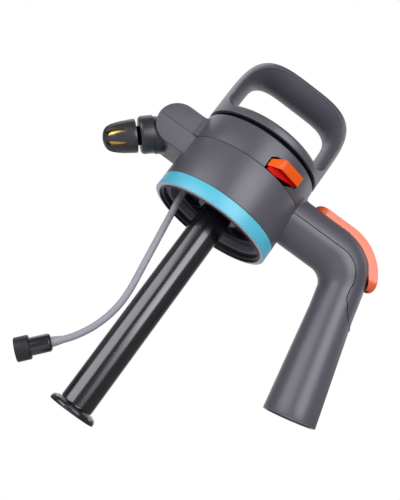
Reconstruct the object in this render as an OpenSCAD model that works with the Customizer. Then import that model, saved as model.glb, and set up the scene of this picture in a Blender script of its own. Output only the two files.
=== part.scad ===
// Pump head of a hand pressure sprayer: pumping handle, tank cap, dip hose, trigger grip and tilting nozzle.
// +Z runs up the pump axis, the origin is on that axis in the plane of the skirt's bottom rim,
// +X points to the trigger grip and -X to the nozzle.

/* [Head] */
// Outer diameter of the head
body_d = 112; // [108:0.5:116]
// Height of the parting line above the rim
seam_z = 50.4; // [48:0.2:52]
// Height of the upper shell's top above the rim
shell_top_z = 78.6; // [77.8:0.2:80]
// Wall of the two head shells
shell_wall = 2.8; // [2.4:0.1:3.2]
// Height of the coloured ring
ring_h = 11.2; // [9:0.2:13]
// Thickness of the coloured ring
ring_t = 2.4; // [1.8:0.1:2.6]
// Height of the skirt's lip under the ring
lip_h = 1.2; // [0.8:0.1:2]
// Thickness of the skirt's wall
skirt_wall = 5; // [4.7:0.1:5.4]
// Gap between the head and the handle that turns on it
groove_h = 2.9; // [2:0.1:3.5]

/* [Tank joint] */
// Thickness of the tank collar in the skirt
collar_t = 1.5; // [1:0.1:2.5]
// Height of the gasket's lower face above the rim
gasket_z = 6.2; // [5:0.2:8]
// Thickness of the tank gasket
gasket_t = 5.6; // [4.5:0.1:6.4]
// Width of the tank gasket
gasket_w = 4.5; // [3:0.1:5]
// Depth of the recess above the gasket
recess_h = 18.2; // [16.5:0.1:18.6]
// Thickness of the ceiling plate
ceiling_t = 3; // [2.4:0.1:3.2]
// Distance of the case screws from the pump axis
screw_pitch_r = 30; // [28:0.5:32]

/* [Pump] */
// Outer diameter of the pump barrel
barrel_d = 28.8; // [26:0.2:30]
// Wall of the pump barrel
barrel_wall = 1.9; // [1.5:0.1:2.4]
// Depth of the barrel's lower end below the rim
barrel_drop = 184; // [150:1:220]
// Diameter of the foot flange
foot_d = 41.4; // [36:0.2:46]
// Height of the foot flange
foot_h = 7.2; // [6:0.2:9]
// Diameter of the pump rod
rod_d = 12; // [10:0.5:14]

/* [Handle] */
// Height of the handle's arch above its disc
arch_rise = 71; // [66:0.5:76]
// Depth of the grip, front to back
arch_depth = 48; // [40:1:52]
// Thickness of the grip at its middle
arch_bar_t = 25; // [20:0.5:28]
// Thickness of the handle's legs
arch_leg_t = 14.5; // [12:0.5:18]
// Spread of each leg's two edges where it meets the disc
leg_spread = 7; // [4:0.5:8]
// Thickness of the handle's disc
disc_h = 7; // [5.5:0.5:9]
// Turn of the handle about the pump axis
handle_turn = 2.5; // [-180:0.5:180]

/* [Nozzle arm] */
// Wall left between the head's inside and the swivel's drum
drum_web = 1; // [0.8:0.1:5]
// Outer radius of the arm's round end
knuckle_r = 19; // [18.6:0.1:20]
// Width of the arm across its two cheeks
knuckle_w = 41; // [40:0.5:44]
// Fall of the nozzle below the horizontal at rest
nozzle_fall = 40; // [38:1:44]
// Travel of the nozzle upwards from rest
nozzle_lift = 50; // [20:5:50]
// Drop of the nozzle's centre line below the tilting axis
nozzle_drop = 2.4; // [1:0.2:3]

/* [Nozzle] */
// Diameter of the nozzle's collar
nozzle_collar_d = 33; // [31:0.2:33.4]
// Length of the nozzle's collar
nozzle_collar_l = 12.5; // [10:0.5:15]
// Diameter of the spray cap at its base
cap_d = 31.2; // [29:0.2:33]
// Length of the spray cap
cap_l = 29.4; // [27:0.2:33]
// Gap between the collar and the spray cap
neck_l = 3; // [2:0.2:5]
// Diameter of the neck
neck_d = 16.4; // [14:0.2:18]
// Number of windows in the spray cap
window_n = 8; // [6:1:9]

/* [Grip] */
// Diameter of the arm that carries the grip
arm_d = 44.8; // [43:0.2:46]
// Height of the arm's centre line above the rim
arm_z = 46.5; // [45:0.5:48]
// Length of the arm, from the head to the elbow
arm_l = 38; // [36:0.5:42]
// Radius of the elbow's inner bend
elbow_inner_r = 12.5; // [10:0.5:15]
// Lean of the grip away from the pump axis
grip_lean = 11.5; // [9:0.5:14]
// Diameter of the grip under the elbow
grip_waist_d = 39; // [37:0.5:41]
// Diameter of the grip at its end
grip_end_d = 46; // [43:0.5:48]
// Length of the grip under the elbow
grip_l = 113.5; // [100:0.5:125]
// Wall of the grip and its cover
grip_wall = 3; // [2.5:0.1:3.2]

/* [Trigger] */
// Width of the trigger lever
trigger_w = 22; // [18:0.5:23]
// Height of the lever above the arm
trigger_proud = 3.3; // [2.8:0.1:4]
// Diameter of the trigger pin
trigger_pin_d = 4; // [3:0.2:4.4]
// Wall of the trigger lever
trigger_wall = 2.6; // [2.2:0.1:3]

/* [Relief tab] */
// Bearing of the tab, from the front towards the grip
relief_bearing = 27; // [24:1:30]
// Width of the tab
relief_w = 33.5; // [30:0.5:34]
// Height of the tab
relief_h = 15; // [14:0.2:15.4]
// Distance that the tab stands out of the head
relief_proud = 4.2; // [3:0.2:5]

/* [Dip hose] */
// Outer diameter of the hose
hose_d = 6; // [5:0.2:6.4]
// Diameter of the hose's flared end at the strainer
hose_end_d = 8.6; // [7:0.2:10]
// Diameter of the strainer's body
strainer_d = 15; // [13:0.2:16]
// Length of the strainer's body
strainer_l = 17; // [14:0.5:20]
// Diameter of the strainer's cap
strainer_cap_d = 20; // [18:0.2:22]
// Length of the strainer's cap
strainer_cap_l = 12; // [10:0.5:14]

/* [Fits] */
// Radial clearance of a running fit
run_fit = 0.05; // [0.03:0.01:0.08]
// Gap between curved faces that move past each other
side_gap = 0.4; // [0.3:0.05:0.5]
// Gap between a moving part and the one it presses
touch_gap = 0.3; // [0.2:0.05:0.4]

/* [Hidden] */
$fn = 96;
FINE = 32;
EPS = 0.01;

body_r = body_d / 2;
shell_bore_r = body_r - shell_wall;
skirt_bore_r = body_r - skirt_wall;
ring_bore_r = body_r - ring_t;
ring_top_z = lip_h + ring_h;
seam_bevel = 0.4;

// Tank joint, from the gasket up to the ceiling
collar_bore_r = skirt_bore_r - collar_t;
gasket_bore_r = collar_bore_r - gasket_w;
gasket_top_z = gasket_z + gasket_t;
plate_rim_t = 3;
plate_rim_top_z = gasket_top_z + plate_rim_t;
ledge_t = 2.6;
ledge_bore_r = gasket_bore_r + 2.5;
ceiling_z = gasket_top_z + recess_h;
ceiling_top_z = ceiling_z + ceiling_t;
recess_r = gasket_bore_r - 6;
screw_d = 3;
screw_head_d = 6.4;
screw_head_h = 2.4;
screw_l = 12;
screw_post_d = 8.4;
SCREW_BEARINGS = [0, 90, 270];
socket_r = barrel_d / 2 + 6;
socket_z = gasket_top_z + 1;

// Pump
barrel_r = barrel_d / 2;
barrel_bore_r = barrel_r - barrel_wall;
barrel_flange_r = barrel_r + 4.6;
barrel_flange_t = 3;
barrel_top_z = ceiling_top_z + barrel_flange_t + 8;
guide_top_z = barrel_top_z + 10;
foot_z = -barrel_drop - foot_h;
neck_groove = 0.8;
seal_section = 2;
seal_r = barrel_r + 2.2;
piston_h = 14;
piston_z = -barrel_drop + 10;
rod_r = rod_d / 2;
rod_low_z = piston_z + 6;
rod_bore_r = rod_r - 2;
piston_screw_r = rod_r + 0.5;

// Handle: a disc on the head, a hub under it and an arch that follows super-ellipses
disc_z = shell_top_z + groove_h;
disc_top_z = disc_z + disc_h;
arch_base_z = disc_top_z + 11.5;
arch_top_z = disc_top_z + arch_rise;
hub_gap = 0.3;
hub_z = shell_top_z + hub_gap;
hub_r = shell_bore_r;
spigot_r = 13.6;
spigot_l = 18;
deck_t = 3;
deck_bore_r = spigot_r + side_gap;
rod_top_z = disc_z - 0.6;

// Nozzle arm: the tilting axis lies in the parting plane
cheek_t = 3.8;
slot_w = knuckle_w - 2 * cheek_t;
swivel_r = knuckle_r - 2.6;
swivel_w = slot_w - 2 * side_gap;
knuckle_reach = shell_bore_r + drum_web + side_gap + swivel_r;
trunnion_r = 5;
trunnion_l = cheek_t - 1.4;
port_shank_r = 4;
port_flange_r = 6.5;
port_face = shell_bore_r - 3.6;
swivel_l = 19.7;
swivel_shoulder = 12;
stem_seat_l = 12;
collar_at = swivel_l;
cap_at = collar_at + nozzle_collar_l + neck_l;
cap_r = cap_d / 2;
cap_wall = 2.6;
neck_r = neck_d / 2;
window_w = 3.6;
window_l = 13.5;
window_from = cap_at + 11.3;
window_phase = 4;
cap_shoulder_l = cap_l - 8.6;
cap_shoulder_r = cap_r - 2.8;
insert_r = cap_shoulder_r - cap_wall - 0.3;

// Grip
arm_r = arm_d / 2;
arm_root_x = body_r - 7;
elbow_x = body_r + arm_l;
elbow_z = arm_z - arm_r - elbow_inner_r;
elbow_sweep = 90 - grip_lean;
elbow_steps = 14;
GRIP_BORE_SIDES = 24;
waist_s = 18;
root_hole_r = 12;
plug_t = 4;
plug_inset = 1.2;

// Trigger
trigger_half = trigger_w / 2;
trigger_start_x = body_r + 10.5;
pivot_x = body_r + 24;
pivot_depth = 6.9;
pivot_z = arm_z + arm_r - pivot_depth;
pin_cover = 0.6;
trigger_pin_l = 2 * (sqrt(arm_r * arm_r - pow(arm_r - pivot_depth + trigger_pin_d / 2, 2)) - pin_cover);
trigger_depth = 4;
trigger_end = 66;
trigger_travel = 4.5;
trigger_drop = 4.8;
trigger_arc_r = 47.2;
trigger_arc_x = elbow_x + 8.6;
trigger_arc_z = arm_z + arm_r + trigger_proud - trigger_arc_r;
valve_x = pivot_x + 20;
valve_r = 8;
valve_z = arm_z - arm_r + 4.9;
valve_top_z = valve_z + 23;
gland_t = 2.5;
valve_bore_r = 4.2;
plunger_r = valve_bore_r - run_fit;
plunger_stem_r = 2.5;
plunger_z = valve_z + 12;
plunger_head = 5;
plunger_top_z = pivot_z - 0.3;
tongue_z = plunger_top_z + touch_gap;
inlet_z = valve_z + 7;
outlet_z = valve_z + 19.5;
port_r = 1.6;

// Relief valve, in a frame turned so that -Y points outwards at the tab
relief_half = relief_w / 2;
relief_z = seam_z + 0.6;
relief_bar_z = relief_z + 6;
relief_top_z = relief_z + relief_h;
relief_bend = -relief_half + 10;
relief_drop = 3.8;
relief_mid_z = relief_z + 8;
relief_back = body_r - 4.6;
relief_web_at = body_r - 1.4;
relief_pocket = relief_back - 0.6;
relief_gap = 0.7;
relief_stem_r = 2.5;
relief_seal_t = 1.4;
relief_clip_r = 5;
relief_clip_t = 1.5;
relief_seat_l = 12;
relief_spring_l = 11;
relief_seat_in = body_r - relief_seat_l;
relief_clip_at = relief_seat_in - relief_spring_l - relief_clip_t;

// Dip hose: the route's points, from the gland in the ceiling to the strainer
gland_r = 4.2;
gland_x = recess_r - gland_r - touch_gap;
HOSE = [[-gland_x, 0, ceiling_z - 8], [-gland_x, 0, ceiling_z - 14], [-34.2, 0, 9], [-33.4, 0, 1],
    [-32, 0, -8], [-30.5, 0, -18],
    [-29, 0, -28], [-27.5, 0, -38], [-26, 0, -48], [-24.5, 0, -58], [-23, 0, -68], [-21.5, 0, -78],
    [-20.5, 0, -87], [-20.2, 0, -95], [-20.6, 0, -103], [-21.8, 0, -111], [-23.8, 0, -119],
    [-26.5, 0, -127], [-30, 0, -134.5], [-34, 0, -141.5], [-38, 0, -147.2], [-42, 0, -151.8],
    [-46, 0, -156.4]];
hose_sides = 12;
strainer_tilt = 41;
INLET = [[-gland_x, 0, ceiling_top_z + 2], [-gland_x, 0, ceiling_top_z + 6], [-33, 7, 43],
    [-27, 14.5, 45], [-18.5, 18, 46], [-9.5, 20, 46],
    [0, 21.4, 46], [9.5, 20, 46], [18.5, 18, 46], [28, 13, 46], [40, 6, 45], [50, 1, 43], [60, 0, 40],
    [valve_x - 24, 0, inlet_z + 0.5]];
OUTLET = [[valve_x - 22, 0, outlet_z], [valve_x - 38, 0, outlet_z], [50, -2, 48.5], [40, -5, 48.5],
    [30, -9, 48], [21, -11.5, 47.5],
    [14.5, -16.5, 47], [6, -20.8, 46.5], [-4, -21.3, 46.5], [-13, -19, 46.5], [-22, -15.5, 47],
    [-31, -9.5, 48], [11 - port_face, -3.5, seam_z - 0.9]];
tube_d = 5;
tube_sides = 8;

function unit(v) = v / norm(v);
function smooth(t) = let (c = min(max(t, 0), 1)) c * c * (3 - 2 * c);
function super(t, n) = sign(t) * pow(abs(t), 2 / n);

// Faces of a closed tube of `count` rings with `sides` points each
function tube_faces(count, sides) = concat(
    [[for (k = [sides - 1:-1:0]) k]],
    [for (i = [0:count - 2], k = [0:sides - 1]) let (a = i * sides, b = (k + 1) % sides)
        [a + k, a + b, a + sides + b]],
    [for (i = [0:count - 2], k = [0:sides - 1]) let (a = i * sides, b = (k + 1) % sides)
        [a + k, a + sides + b, a + sides + k]],
    [[for (k = [0:sides - 1]) (count - 1) * sides + k]]);

function tangent(path, i) = let (last = len(path) - 1)
    unit(path[min(i + 1, last)] - path[max(i - 1, 0)]);

function ring_at(centre, along, radius, sides, ref) =
    let (s = unit(cross(along, ref)), u = cross(s, along))
    [for (k = [0:sides - 1]) let (a = 360 * k / sides) centre + radius * (cos(a) * s + sin(a) * u)];

// Round tube swept along the points of a path; end_d flares it over its last steps
module swept_tube(path, d, sides, ref, end_d = 0, end_steps = 3) {
    last = len(path) - 1;
    spread = (end_d > 0 ? end_d - d : 0) / 2;
    rings = [for (i = [0:last]) let (r = d / 2 + spread * smooth((i - last + end_steps) / end_steps))
        each ring_at(path[i], tangent(path, i), r, sides, ref)];
    polyhedron(rings, tube_faces(len(path), sides), convexity = 8);
}

// Helical spring along +Z from z = 0, with its wire's centre on radius r
module coil_spring(r, length, wire_d, turns, per_turn = 10) {
    steps = turns * per_turn;
    path = [for (i = [0:steps]) let (a = 360 * i / per_turn)
        [r * cos(a), r * sin(a), wire_d / 2 + (length - wire_d) * i / steps]];
    swept_tube(path, wire_d, 6, [0, 0, 1]);
}

module ring_solid(outer_r, inner_r, z0, z1) {
    rotate_extrude() polygon([[inner_r, z0], [outer_r, z0], [outer_r, z1], [inner_r, z1]]);
}

module o_ring(r, section_d, z) {
    rotate_extrude() translate([r, z]) circle(d = section_d, $fn = FINE);
}

module at_bearings(bearings, r) {
    for (a = bearings) rotate(a) translate([r, 0, 0]) children();
}

// ---- Head shells -------------------------------------------------------------------------------

// Side outline of the nozzle arm, in X and Z, from its round end to inside the head
module knuckle_outline() {
    hull() {
        translate([-knuckle_reach, seam_z]) circle(knuckle_r);
        translate([-body_r + 8, seam_z]) square([1, 2 * knuckle_r], center = true);
    }
}

// Space between the cheeks, which the swivel and its collar sweep as they tilt
module swivel_sweep() {
    reach = 60;
    low = swivel_r + nozzle_drop + side_gap;
    high = swivel_r - nozzle_drop + side_gap;
    translate([-knuckle_reach, slot_w / 2, seam_z]) rotate([90, 0, 0]) linear_extrude(slot_w) {
        circle(swivel_r + side_gap);
        hull() for (i = [0:5]) rotate(nozzle_fall + 1 - (nozzle_lift + 2) * i / 5)
            translate([-reach, -low]) square([reach - swivel_shoulder + side_gap, low + high]);
    }
}

module trunnions(r, l) {
    translate([-knuckle_reach, 0, seam_z]) rotate([90, 0, 0])
        cylinder(r = r, h = slot_w + 2 * l, center = true);
}

module knuckle() {
    difference() {
        translate([0, knuckle_w / 2, 0]) rotate([90, 0, 0]) linear_extrude(knuckle_w) knuckle_outline();
        cylinder(r = shell_bore_r, h = 2 * shell_top_z);
        swivel_sweep();
        trunnions(trunnion_r + run_fit, trunnion_l + run_fit);
        port_hole(port_shank_r);
    }
}

module port_hole(r) {
    translate([-knuckle_reach, 0, seam_z]) rotate([0, 90, 0]) cylinder(r = r, h = knuckle_reach - port_face);
}

module arm_root_hole() {
    translate([body_r - 10, 0, arm_z]) rotate([0, 90, 0]) cylinder(r = root_hole_r, h = 20);
}

module slab(z0, z1) {
    translate([-2 * body_r, -2 * body_r, z0]) cube([4 * body_r, 4 * body_r, z1 - z0]);
}

module lower_shell() {
    color("#5d5b64") {
        difference() {
            rotate_extrude() polygon([[skirt_bore_r, 0], [ring_bore_r + 0.6, 0], [ring_bore_r + 1.2, 0.6],
                [ring_bore_r + 1.2, lip_h], [ring_bore_r, lip_h], [ring_bore_r, ring_top_z],
                [body_r, ring_top_z], [body_r, seam_z - seam_bevel], [body_r - seam_bevel, seam_z],
                [shell_bore_r, seam_z], [shell_bore_r, plate_rim_top_z + ledge_t + 3],
                [ledge_bore_r, plate_rim_top_z + ledge_t], [ledge_bore_r, plate_rim_top_z],
                [skirt_bore_r, plate_rim_top_z]]);
            arm_root_hole();
            swivel_sweep();
            port_hole(port_shank_r);
        }
        intersection() {
            knuckle();
            slab(0, seam_z);
        }
    }
}

module upper_shell() {
    edge_r = 1.5;
    color("#63616b") {
        difference() {
            rotate_extrude() polygon(concat(
                [[shell_bore_r, seam_z], [body_r - seam_bevel, seam_z], [body_r, seam_z + seam_bevel]],
                [for (a = [0:15:90])
                    [body_r - edge_r + edge_r * cos(a), shell_top_z - edge_r + edge_r * sin(a)]],
                [[deck_bore_r, shell_top_z], [deck_bore_r, shell_top_z - deck_t],
                    [shell_bore_r, shell_top_z - deck_t]]));
            arm_root_hole();
            relief_window();
            swivel_sweep();
            port_hole(port_shank_r);
        }
        difference() {
            intersection() {
                knuckle();
                slab(seam_z, shell_top_z);
            }
            slab(shell_top_z - EPS, shell_top_z + 1);
        }
        at_bearings(SCREW_BEARINGS, screw_pitch_r) difference() {
            translate([0, 0, ceiling_top_z]) cylinder(d = screw_post_d, h = shell_top_z - 1 - ceiling_top_z);
            translate([0, 0, ceiling_top_z - EPS]) cylinder(d = screw_d, h = screw_l);
        }
    }
}

module accent_ring() {
    edge = 0.7;
    color("#5ecbe8") rotate_extrude() polygon([[ring_bore_r, lip_h], [body_r - edge, lip_h],
        [body_r, lip_h + edge], [body_r, ring_top_z], [ring_bore_r, ring_top_z]]);
}

// ---- Tank joint --------------------------------------------------------------------------------

module tank_collar() {
    lead = 1.2;
    color("#1d1c20") rotate_extrude() polygon([[collar_bore_r + lead, 1], [skirt_bore_r, 1],
        [skirt_bore_r, gasket_top_z], [collar_bore_r, gasket_top_z], [collar_bore_r, 1 + lead]]);
}

module tank_gasket() {
    color("#6b6a70") ring_solid(collar_bore_r, gasket_bore_r, gasket_z, gasket_top_z);
}

// Radial rib of the ceiling; its lower edge rises by `rise` from the barrel's socket to the recess's wall
module rib(bearing, y, t, rise) {
    rotate(bearing) translate([0, y + t / 2, 0]) rotate([90, 0, 0]) linear_extrude(t) polygon([
        [socket_r - 0.6, socket_z + 1.4], [recess_r + 0.6, socket_z + 1.4 + rise],
        [recess_r + 0.6, ceiling_z + 0.6], [socket_r - 0.6, ceiling_z + 0.6]]);
}

module ceiling_plate() {
    edge = 1.2;
    rib_t = 1.6;
    rib_pitch = 4.8;
    rib_rise = 3.8;
    boss_h = screw_head_h + 1.6;
    seal_groove_t = seal_section * 0.95;
    color("#242328") difference() {
        union() {
            rotate_extrude() polygon([[gasket_bore_r - 0.6, gasket_top_z], [skirt_bore_r, gasket_top_z],
                [skirt_bore_r, plate_rim_top_z], [recess_r + 3, plate_rim_top_z],
                [recess_r + 3, ceiling_top_z], [barrel_r, ceiling_top_z],
                [barrel_r, socket_z], [socket_r - edge, socket_z],
                [socket_r, socket_z + edge], [socket_r, ceiling_z], [recess_r, ceiling_z],
                [recess_r, gasket_top_z + 1.4]]);
            for (a = [32, 148, 212, 328], y = [-rib_pitch / 2, rib_pitch / 2]) rib(a, y, rib_t, rib_rise);
            for (a = [55, 125, 235, 305]) rib(a, 0, rib_t, 1);
            at_bearings(SCREW_BEARINGS, screw_pitch_r)
                translate([0, 0, ceiling_z - boss_h]) cylinder(d = screw_post_d, h = boss_h + EPS);
        }
        at_bearings(SCREW_BEARINGS, screw_pitch_r) {
            translate([0, 0, ceiling_z - boss_h - 1]) cylinder(d = screw_d, h = boss_h + ceiling_t + 2);
            translate([0, 0, ceiling_z - boss_h - 1]) cylinder(d = screw_head_d, h = screw_head_h + 1);
        }
        ring_solid(seal_r + seal_section / 2, seal_r - seal_section / 2, ceiling_top_z - seal_groove_t,
            ceiling_top_z + 1);
        translate([HOSE[0][0], 0, ceiling_z - 1]) cylinder(r = hose_d / 2, h = ceiling_t + 2);
    }
}

module case_screws() {
    head_z = ceiling_z - 1.6 - screw_head_h;
    color("#b9bbc0") at_bearings(SCREW_BEARINGS, screw_pitch_r) difference() {
        union() {
            translate([0, 0, head_z]) cylinder(d = screw_head_d, h = screw_head_h);
            translate([0, 0, head_z]) cylinder(d = screw_d, h = screw_l + screw_head_h);
        }
        for (a = [0, 90]) rotate(a) translate([-1.8, -0.4, head_z - 1]) cube([3.6, 0.8, 2.2]);
    }
}

// ---- Pump --------------------------------------------------------------------------------------

module pump_barrel() {
    color("#1b1a1e") rotate_extrude() polygon([[barrel_bore_r, -barrel_drop], [barrel_r, -barrel_drop],
        [barrel_r, ceiling_top_z], [barrel_flange_r, ceiling_top_z],
        [barrel_flange_r, ceiling_top_z + barrel_flange_t], [barrel_r, ceiling_top_z + barrel_flange_t],
        [barrel_r, barrel_top_z], [barrel_bore_r, barrel_top_z]]);
}

module barrel_seal() {
    color("#111114") o_ring(seal_r, seal_section * 0.95, ceiling_top_z - seal_section * 0.95 / 2);
}

module rod_guide() {
    wall = 2.6;
    color("#2b2a2f") rotate_extrude() polygon([[barrel_r, ceiling_top_z + barrel_flange_t],
        [barrel_r + wall, ceiling_top_z + barrel_flange_t], [barrel_r + wall, guide_top_z - 2],
        [barrel_r + wall - 2, guide_top_z], [rod_r + run_fit, guide_top_z],
        [rod_r + run_fit, barrel_top_z], [barrel_r, barrel_top_z]]);
}

// Foot of the barrel: a flange with notches in its rim, over the outlet ports of the foot valve
module foot_flange() {
    foot_r = foot_d / 2;
    slope = 2.4;
    web_t = 2.4;
    notch_n = 12;
    port_n = 6;
    color("#1b1a1e") difference() {
        rotate_extrude() polygon([[0, foot_z + 2.2], [0, foot_z + 2.2 + web_t],
            [barrel_bore_r, foot_z + 2.2 + web_t], [barrel_bore_r, -barrel_drop],
            [barrel_r - neck_groove, -barrel_drop], [barrel_r - neck_groove, -barrel_drop - 0.8],
            [barrel_r + 2.5, -barrel_drop - 0.8],
            [foot_r - 0.8, -barrel_drop - 0.8 - slope], [foot_r, -barrel_drop - 1.6 - slope],
            [foot_r, foot_z + 0.6], [foot_r - 0.6, foot_z], [barrel_bore_r - 1.5, foot_z],
            [barrel_bore_r - 1.5, foot_z + 2.2]]);
        for (i = [0:notch_n - 1]) rotate(360 * (i + 0.5) / notch_n) translate([foot_r - 1, -2, foot_z - 1])
            cube([3, 4, foot_h - slope - 0.2]);
        for (i = [0:port_n - 1]) rotate(360 * i / port_n) translate([6, 0, foot_z])
            cylinder(d = 2.4, h = foot_h);
    }
}

module foot_valve() {
    z = foot_z + 2.2;
    color("#38373c") rotate_extrude()
        polygon([[0, z], [8.6, z], [8.8, z - 0.8], [2.5, z - 1.5], [0, z - 1.9]]);
}

module pump_piston() {
    groove_z = piston_z + 5;
    head_z = piston_z + 3.2;
    color("#d8d8da") difference() {
        rotate_extrude() polygon([[piston_screw_r + 0.3, piston_z], [barrel_bore_r - 0.5, piston_z],
            [barrel_bore_r - 0.15, piston_z + 0.4], [barrel_bore_r - 0.15, groove_z],
            [barrel_bore_r - 2.6, groove_z], [barrel_bore_r - 2.6, groove_z + 3.2],
            [barrel_bore_r - 0.15, groove_z + 3.2], [barrel_bore_r - 0.15, piston_z + piston_h],
            [rod_r + run_fit, piston_z + piston_h], [rod_r + run_fit, rod_low_z],
            [rod_bore_r + run_fit, rod_low_z], [rod_bore_r + run_fit, head_z],
            [piston_screw_r + 0.3, head_z]]);
        for (a = [0:90:270]) rotate(a) translate([rod_r + 2.2, 0, piston_z - 1])
            cylinder(d = 1.4, h = piston_h + 2);
    }
}

module piston_seal() {
    z = piston_z + 5;
    color("#111114") rotate_extrude() polygon([[barrel_bore_r - 2.6, z], [barrel_bore_r - 0.8, z],
        [barrel_bore_r - run_fit, z + 1.6], [barrel_bore_r - run_fit, z + 2.8], [barrel_bore_r - 1, z + 2.6],
        [barrel_bore_r - 1.6, z + 1.2], [barrel_bore_r - 2.6, z + 1.2]]);
}

module pump_rod() {
    color("#cfd0d4") ring_solid(rod_r, rod_bore_r, rod_low_z + touch_gap, rod_top_z);
}

// Screw that holds the piston on the rod, free to turn in it
module piston_screw() {
    top_z = piston_z + 2.9;
    color("#b9bbc0") rotate_extrude() polygon([[0, piston_z + 0.6], [piston_screw_r, piston_z + 0.6],
        [piston_screw_r, top_z], [rod_bore_r, top_z], [rod_bore_r, rod_low_z + 11], [0, rod_low_z + 12]]);
}

// ---- Handle ------------------------------------------------------------------------------------

module handle_hub() {
    color("#151418") rotate(handle_turn) difference() {
        rotate_extrude() polygon([[0, disc_z], [hub_r, disc_z], [hub_r, hub_z], [spigot_r, hub_z],
            [spigot_r, hub_z - spigot_l + 1], [spigot_r - 1, hub_z - spigot_l], [0, hub_z - spigot_l]]);
        translate([0, 0, hub_z - spigot_l - 1]) cylinder(r = rod_r, h = rod_top_z - hub_z + spigot_l + 1);
    }
}

// One cross-section of the arch at angle t from one leg over the top to the other
function arch_point(t, half, rise, n, base) = [-half * super(cos(t), n), base + rise * super(sin(t), n)];
function arch_section(low, t) =
    let (lift = arch_top_z - arch_base_z,
        half = arch_depth / 2 + leg_spread * pow(1 - smooth((low - disc_top_z) / 10), 2),
        outer = arch_point(t, body_r, lift, 3.7, arch_base_z),
        edge = arch_point(t, sqrt(body_r * body_r - half * half), lift - 12, 3, arch_base_z),
        flare = 5 * pow(1 - smooth((low - disc_top_z) / 12), 2),
        inner = arch_point(t, body_r - arch_leg_t - flare, lift - arch_bar_t, 4.5, arch_base_z),
        drop = [0, low - arch_base_z],
        m = 8)
    concat(
        [for (i = [0:m]) let (u = -1 + 2 * i / m, p = edge + (outer - edge) * (1 - u * u) + drop)
            [p[0], u * half, p[1]]],
        [for (i = [1:m - 1]) let (u = 1 - 2 * i / m, p = edge + (inner - edge) * (1 - u * u) + drop)
            [p[0], u * half, p[1]]]);

// Stations: up one leg, over the arch, down the other leg
ARCH_STEPS = 26;
LEG_LOWS = [disc_top_z - 3, disc_top_z, disc_top_z + 2, disc_top_z + 4.5, disc_top_z + 8];
function arch_stations() = concat([for (z = LEG_LOWS) [z, 0]],
    [for (i = [0:ARCH_STEPS]) [arch_base_z, 180 * (i / ARCH_STEPS)]],
    [for (i = [len(LEG_LOWS) - 1:-1:0]) [LEG_LOWS[i], 180]]);

module d_handle() {
    edge_r = 3.2;
    under_r = 0.8;
    stations = arch_stations();
    color("#5d5b64") rotate(handle_turn) {
        polyhedron([for (s = stations) each arch_section(s[0], s[1])], tube_faces(len(stations), 16),
            convexity = 8);
        rotate_extrude() polygon(concat([[0, disc_z], [body_r - under_r, disc_z], [body_r, disc_z + under_r]],
            [for (a = [0:15:90]) [body_r - edge_r + edge_r * cos(a), disc_top_z - edge_r + edge_r * sin(a)]],
            [[0, disc_top_z]]));
    }
}

// ---- Dip hose ----------------------------------------------------------------------------------

module hose_gland() {
    flange_t = 1.6;
    color("#1b1a1e") translate([HOSE[0][0], 0, 0]) difference() {
        union() {
            translate([0, 0, HOSE[0][2]]) cylinder(r = gland_r, h = ceiling_z - HOSE[0][2]);
            translate([0, 0, ceiling_z - EPS]) cylinder(r = hose_d / 2, h = ceiling_t + EPS);
            translate([0, 0, ceiling_top_z]) cylinder(r = gland_r, h = INLET[0][2] - ceiling_top_z);
        }
        translate([0, 0, HOSE[0][2] - 1]) cylinder(r = port_r, h = INLET[0][2] - HOSE[0][2] + 2);
    }
}

module dip_hose() {
    color("#aaa7b0") swept_tube(HOSE, hose_d, hose_sides, [0, 1, 0], hose_end_d);
}

module at_strainer() {
    translate(HOSE[len(HOSE) - 1]) rotate([0, strainer_tilt, 0]) children();
}

module strainer_body() {
    chamfer = 1.6;
    color("#17161a") at_strainer() difference() {
        rotate_extrude() polygon([[0, 0], [strainer_d / 2 - chamfer, 0], [strainer_d / 2, -chamfer],
            [strainer_d / 2, -strainer_l], [strainer_d / 2 - 1.5, -strainer_l],
            [strainer_d / 2 - 1.5, -strainer_l - 5], [0, -strainer_l - 5]]);
        translate([0, 0, -strainer_l - 6]) cylinder(r = port_r, h = strainer_l + 7);
    }
}

module strainer_cap() {
    wall = 1.8;
    bead = 0.8;
    color("#17161a") at_strainer() rotate_extrude() polygon([[strainer_d / 2 - 1.5, -strainer_l],
        [strainer_cap_d / 2 - bead, -strainer_l], [strainer_cap_d / 2, -strainer_l - bead],
        [strainer_cap_d / 2, -strainer_l - strainer_cap_l + bead],
        [strainer_cap_d / 2 - bead, -strainer_l - strainer_cap_l],
        [strainer_cap_d / 2 - wall - bead, -strainer_l - strainer_cap_l],
        [strainer_cap_d / 2 - wall, -strainer_l - strainer_cap_l + bead],
        [strainer_cap_d / 2 - wall, -strainer_l - 5], [strainer_d / 2 - 1.5, -strainer_l - 5]]);
}

module strainer_screen() {
    screen_t = 0.8;
    pitch = 2.4;
    screen_r = strainer_cap_d / 2 - 1.8;
    color("#8d8f94") at_strainer() translate([0, 0, -strainer_l - 5 - screen_t]) difference() {
        cylinder(r = screen_r, h = screen_t);
        for (x = [-2:2], y = [-2:2]) if (norm([x, y]) < 2.6) translate([x * pitch * 1.2, y * pitch * 1.2, -1])
            cylinder(d = pitch * 0.6, h = screen_t + 2, $fn = 16);
    }
}

// ---- Grip --------------------------------------------------------------------------------------

// Radius of the elbow at an angle of its sweep, narrowing towards the grip
function elbow_r(a) = arm_r + 0.5 * sin(min(a * 3, 180))
    + (grip_waist_d / 2 - arm_r) * smooth((a - 36) / 42);
function elbow_centre(a) = let (r = elbow_inner_r + elbow_r(a))
    [elbow_x + r * sin(a), 0, elbow_z + r * cos(a)];
function elbow_end() = elbow_centre(elbow_sweep);
GRIP_DIR = [sin(grip_lean), 0, -cos(grip_lean)];

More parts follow.
